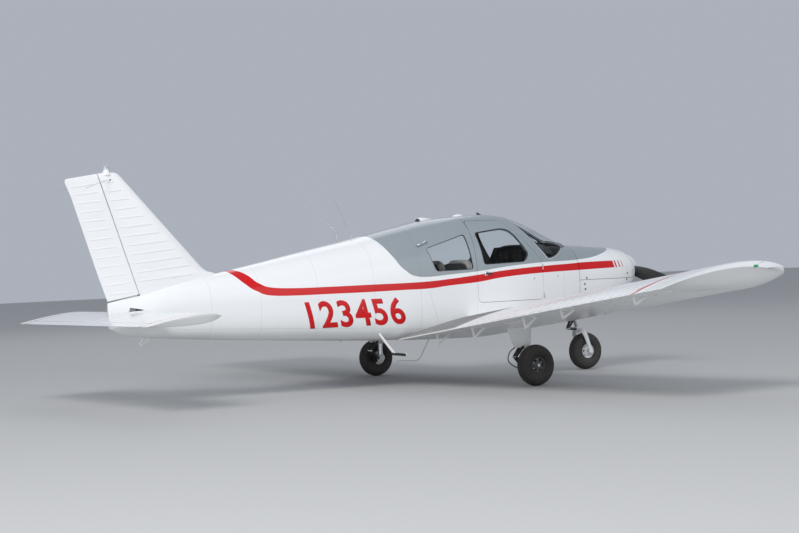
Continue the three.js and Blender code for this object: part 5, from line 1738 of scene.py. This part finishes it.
# Boarding step: white steel tube from the belly behind the wing, with a black non-slip foot bar.
post_path = smooth_path([(-0.36, 1.200, 0.650), (-0.41, 1.145, 0.555), (-0.46, 1.085, 0.445),
                         (-0.498, 1.040, 0.366)], 20)
bar_path = smooth_path([(-0.499, 1.062, 0.364), (-0.500, 1.000, 0.357), (-0.500, 0.905, 0.345)], 24)
step_post = carried("step_post", axle + post_path, oval(0.011, 0.017, 24), [gear_paint], (0, 1, 0))
step_bar = carried("step_foot_bar", axle + bar_path, oval(0.017, 0.014, 24), [crackle], (1, 0, 0))
step_cap = turned("step_end_cap", [[0.021, -0.006], [0.022, 0.003], [0.018, 0.010], [0, 0.012]],
                  axle + [-0.500, 0.903, 0.345], (0, -1, -0.1), [gear_paint], 32)
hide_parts("step")
ride_on([step_post, step_bar, step_cap], "airframe", "aerial_metal")

# Door and cowl hardware: a black lever on a chromed escutcheon, two strap hinges on the door's front
# edge, quarter-turn latches on the cowl, two bright studs and an assist handle.
def hull_frame(side, y, z):
    """The point on the hull's side at a place in side view, and the outward direction there."""
    tiny = 0.002
    back, front, high, low = (on_hull(side, y + a * tiny, z + b * tiny)
                              for a, b in ((1, 0), (-1, 0), (0, 1), (0, -1)))
    outward = np.cross(back - front, high - low) * side
    return on_hull(side, y, z), outward / np.linalg.norm(outward)


def stud(name, side, y, z, profile, finish, segments=24):
    """A turned piece that stands on the hull's side."""
    return turned(name, profile, *hull_frame(side, y, z), [finish], segments)


place, outward = hull_frame(-1, -0.118, 1.150)
lever = smooth_path([place + outward * 0.004, place + outward * 0.017,
                     place + outward * 0.020 + [0, -0.016, 0],
                     place + outward * 0.018 + [0, -0.072, -0.003]], 24)
fittings = {"airframe": [], "cabin_door": [
    stud("door_escutcheon", -1, -0.118, 1.150, [[0.026, -0.002], [0.025, 0.004], [0.018, 0.007]],
         bright_tube, 40),
    carried("door_lever", lever, oval(0.009, 0.006, 16), [black_steel], (0, 0, 1))]}
# Half of a hinge barrel, with a fine groove beside its middle knuckle
knuckle = np.array([[0.0065, 0.0095], [0.0060, 0.0100], [0.0065, 0.0105], [0.0065, 0.030]])
for k, z in enumerate((1.195, 0.890)):
    place, outward = hull_frame(-1, -0.8815, z)
    fittings["cabin_door"].append(turned(f"door_hinge_{k}", [*knuckle[::-1] * [1, -1], *knuckle],
                                         place + outward * 0.003, (0, 0.05, 1), [bright_tube], 20))
latch_places = ((-1.504, 1.049), (-1.472, 0.983), (-1.479, 0.928), (-2.159, 1.082), (-2.144, 1.014))
for side, word in sides:
    for k, (y, z) in enumerate(latch_places):
        fittings["airframe"].append(stud(f"cowl_latch_{word}_{k}", side, y, z, [
            [0.011, -0.002], [0.0105, 0.0015], [0.008, 0.003], [0.002, 0.0022]], black_steel))
for k, (body, y, z) in enumerate((("cabin_door", -0.752, 1.077), ("airframe", -1.081, 1.092))):
    fittings[body].append(stud(f"side_stud_{k}", -1, y, z, [[0.012, -0.002], [0.011, 0.002], [0.005, 0.004]],
                               bright_tube))
(first, _), (middle, outward), (last, _) = (hull_frame(-1, y, z)
                                            for y, z in ((0.55, 1.505), (0.615, 1.484), (0.68, 1.462)))
lift = outward * 0.030
handle = smooth_path([first, first * 0.9 + middle * 0.1 + lift * 0.85, middle + lift,
                      last * 0.9 + middle * 0.1 + lift * 0.85, last], 30)
fittings["airframe"].append(carried("assist_handle", handle, oval(0.008, 0.006, 16), [bright_tube],
                                    (0, 0, 1)))
for body, pieces in fittings.items():
    ride_on(pieces, body, "aerial_metal")

# Windscreen trim: a thin bright strip screwed down over the edge of the panes.
trim_metal = plain("trim_metal", (0.62, 0.64, 0.66), 0.3, 0.2, 0.2, 0.001, metallic=0.8)


def trim_surface(y, turn):
    """The hull, stood proud by the strip's thickness."""
    return beside(y, turn, 0.0016)


trim = skin("windscreen_trim", trim_surface, np.arange(-1.335, -0.60, 0.008), np.linspace(0.0, pi, 220),
            lambda p: np.maximum(windscreen(p) - 0.014, -windscreen(p)), [trim_metal], 0.0014)
ride_on([trim], "airframe", "top_paint")

# Flap and aileron brackets: flat bars in a V under each hinge, riveted to the moving surface.
def flat_bar(name, first, last, side, materials, width=0.022, thick=0.004):
    """A flat bar between two places along, aft of and above the wing."""
    section = np.array([(-thick, -width), (thick, -width), (thick, width), (-thick, width)]) / 2
    return carried(name, [wing_place(side, *first), wing_place(side, *last)], section, materials, (1, 0, 0))


post_n, stay_n = wing_heights(1.0, 0.82)[1] + 0.002, wing_heights(1.0, 0.665)[1] + 0.002
for side, word in sides:
    for kind, drop, stations in (("flap", -0.112, (0.97, 1.60, 2.45)), ("aileron", -0.085, (3.04, 4.08))):
        brackets = []
        for k, s in enumerate(stations):
            name = f"{kind}_bracket_%s_{word}_{k}"
            brackets += [
                flat_bar(name % "post", (s, 0.82, post_n), (s, 0.80, drop), side, [gear_paint]),
                flat_bar(name % "stay", (s, 0.662, stay_n), (s, 0.802, drop + 0.004), side, [gear_paint]),
                turned(name % "bolt", [[0.007, -0.009], [0.007, 0.009]], wing_place(side, s, 0.80, drop),
                       (1, 0, 0), [bright_tube], 6)]
        ride_on(brackets, f"{kind}_{word}", "aerial_metal")

# Wing fittings: a tie-down ring, round access plates, a fuel cap, a tip light of coloured lens, and on
# the left a pressure probe.
light_red = plain("light_red", (0.5, 0.012, 0.01), 0.08, 0.05, 0.05, 0.0004)
light_green = plain("light_green", (0.012, 0.34, 0.13), 0.08, 0.05, 0.05, 0.0004)
def on_wing(side, s, y, off=0.0, top=False):
    """A place on the wing's lower or upper skin, or so far off it, square to the wing's plane."""
    high, low = wing_heights(s, y)
    return wing_place(side, s, y, (high if top else low) + off)


for side, word, lens in ((1, "left", light_red), (-1, "right", light_green)):
    down = np.array([side * sin(dihedral), 0, -cos(dihedral)])
    turn = turns(40)
    ring = np.stack([0 * turn, 0.017 * np.sin(turn), 0.017 * np.cos(turn)], -1)
    pieces = [
        carried("tie_ring_" + word, on_wing(side, 3.060, 0.310, -0.022) + ring, oval(0.0038, 0.0038, 10),
                [bright_tube], (1, 0, 0), closed=True),
        turned("tie_ring_foot_" + word, [[0.020, 0], [0.019, 0.004], [0.006, 0.009]],
               on_wing(side, 3.060, 0.310, 0.001), down, [gear_paint], 24)]
    for k, (s, y) in enumerate(((1.85, 0.02), (2.62, 0.02), (3.35, 0.02), (3.35, 0.36))):
        pieces.append(turned(f"access_plate_{word}_{k}", [[0.062, 0], [0.0612, 0.0022], [0, 0.0026]],
                             on_wing(side, s, y, 0.001), down, [wing_paint[word]], 48))
    cap = [[0.044, -0.004], [0.043, 0.004], [0.034, 0.007], [0.010, 0.0065]]
    pieces.append(turned("fuel_cap_" + word, cap, on_wing(side, 2.15, -0.28, top=True), -down,
                         [trim_metal], 40))
    # The light: a teardrop of lens on the tip's leading edge
    share, turn = grid(np.linspace(0.0, 1.0, 24), turns(32))
    swell = np.sin(np.clip(share, 0.012, 0.97) * pi) ** 0.6 * (1 - 0.35 * share)
    n = sum(wing_heights(4.600, -0.17)) / 2 + 0.016 * swell * np.sin(turn)
    teardrop = wing_place(side, 4.598 + 0.017 * swell * np.cos(turn), -0.215 + 0.095 * share, n)
    pieces.append(loop("tip_light_" + word, teardrop, [lens]))
    ride_on(pieces, "airframe", "aerial_metal")
s, y = 2.05, -0.30
low_n = wing_heights(s, y)[1]
probe_path = [wing_place(1, s, y + aft, low_n + off) for aft, off in ((0.06, 0.004), (0.03, -0.060),
                                                                       (-0.02, -0.130))]
probe = carried("pressure_probe", smooth_path(probe_path, 16), oval(0.007, 0.024, 20), [gear_paint],
                (1, 0, 0))
ride_on([probe], "airframe", "aerial_metal")

# Exhaust: a steel stack that leaves the cowl's outlet on the right, blued and sooted by heat.
exhaust_steel, shader = new_material("exhaust_steel", metallic=0.7)
scorch = noise(spot_in(shader.id_data), 22, 4)
weathered(shader, mix_colour(scorch, (0.20, 0.15, 0.11), (0.05, 0.045, 0.045)), 0.5, 0.3, 0.4, 0.002)
stack_path = smooth_path([(-0.14, -1.660, 0.760), (-0.14, -1.640, 0.690), (-0.14, -1.590, 0.620),
                          (-0.14, -1.530, 0.570)], 24)
stack = carried("exhaust_stack", axle + stack_path, oval(0.030, 0.030, 32), [exhaust_steel], (1, 0, 0),
                ends=False)
walled(stack, 0.002)
ride_on([stack], "airframe", "engine_metal")
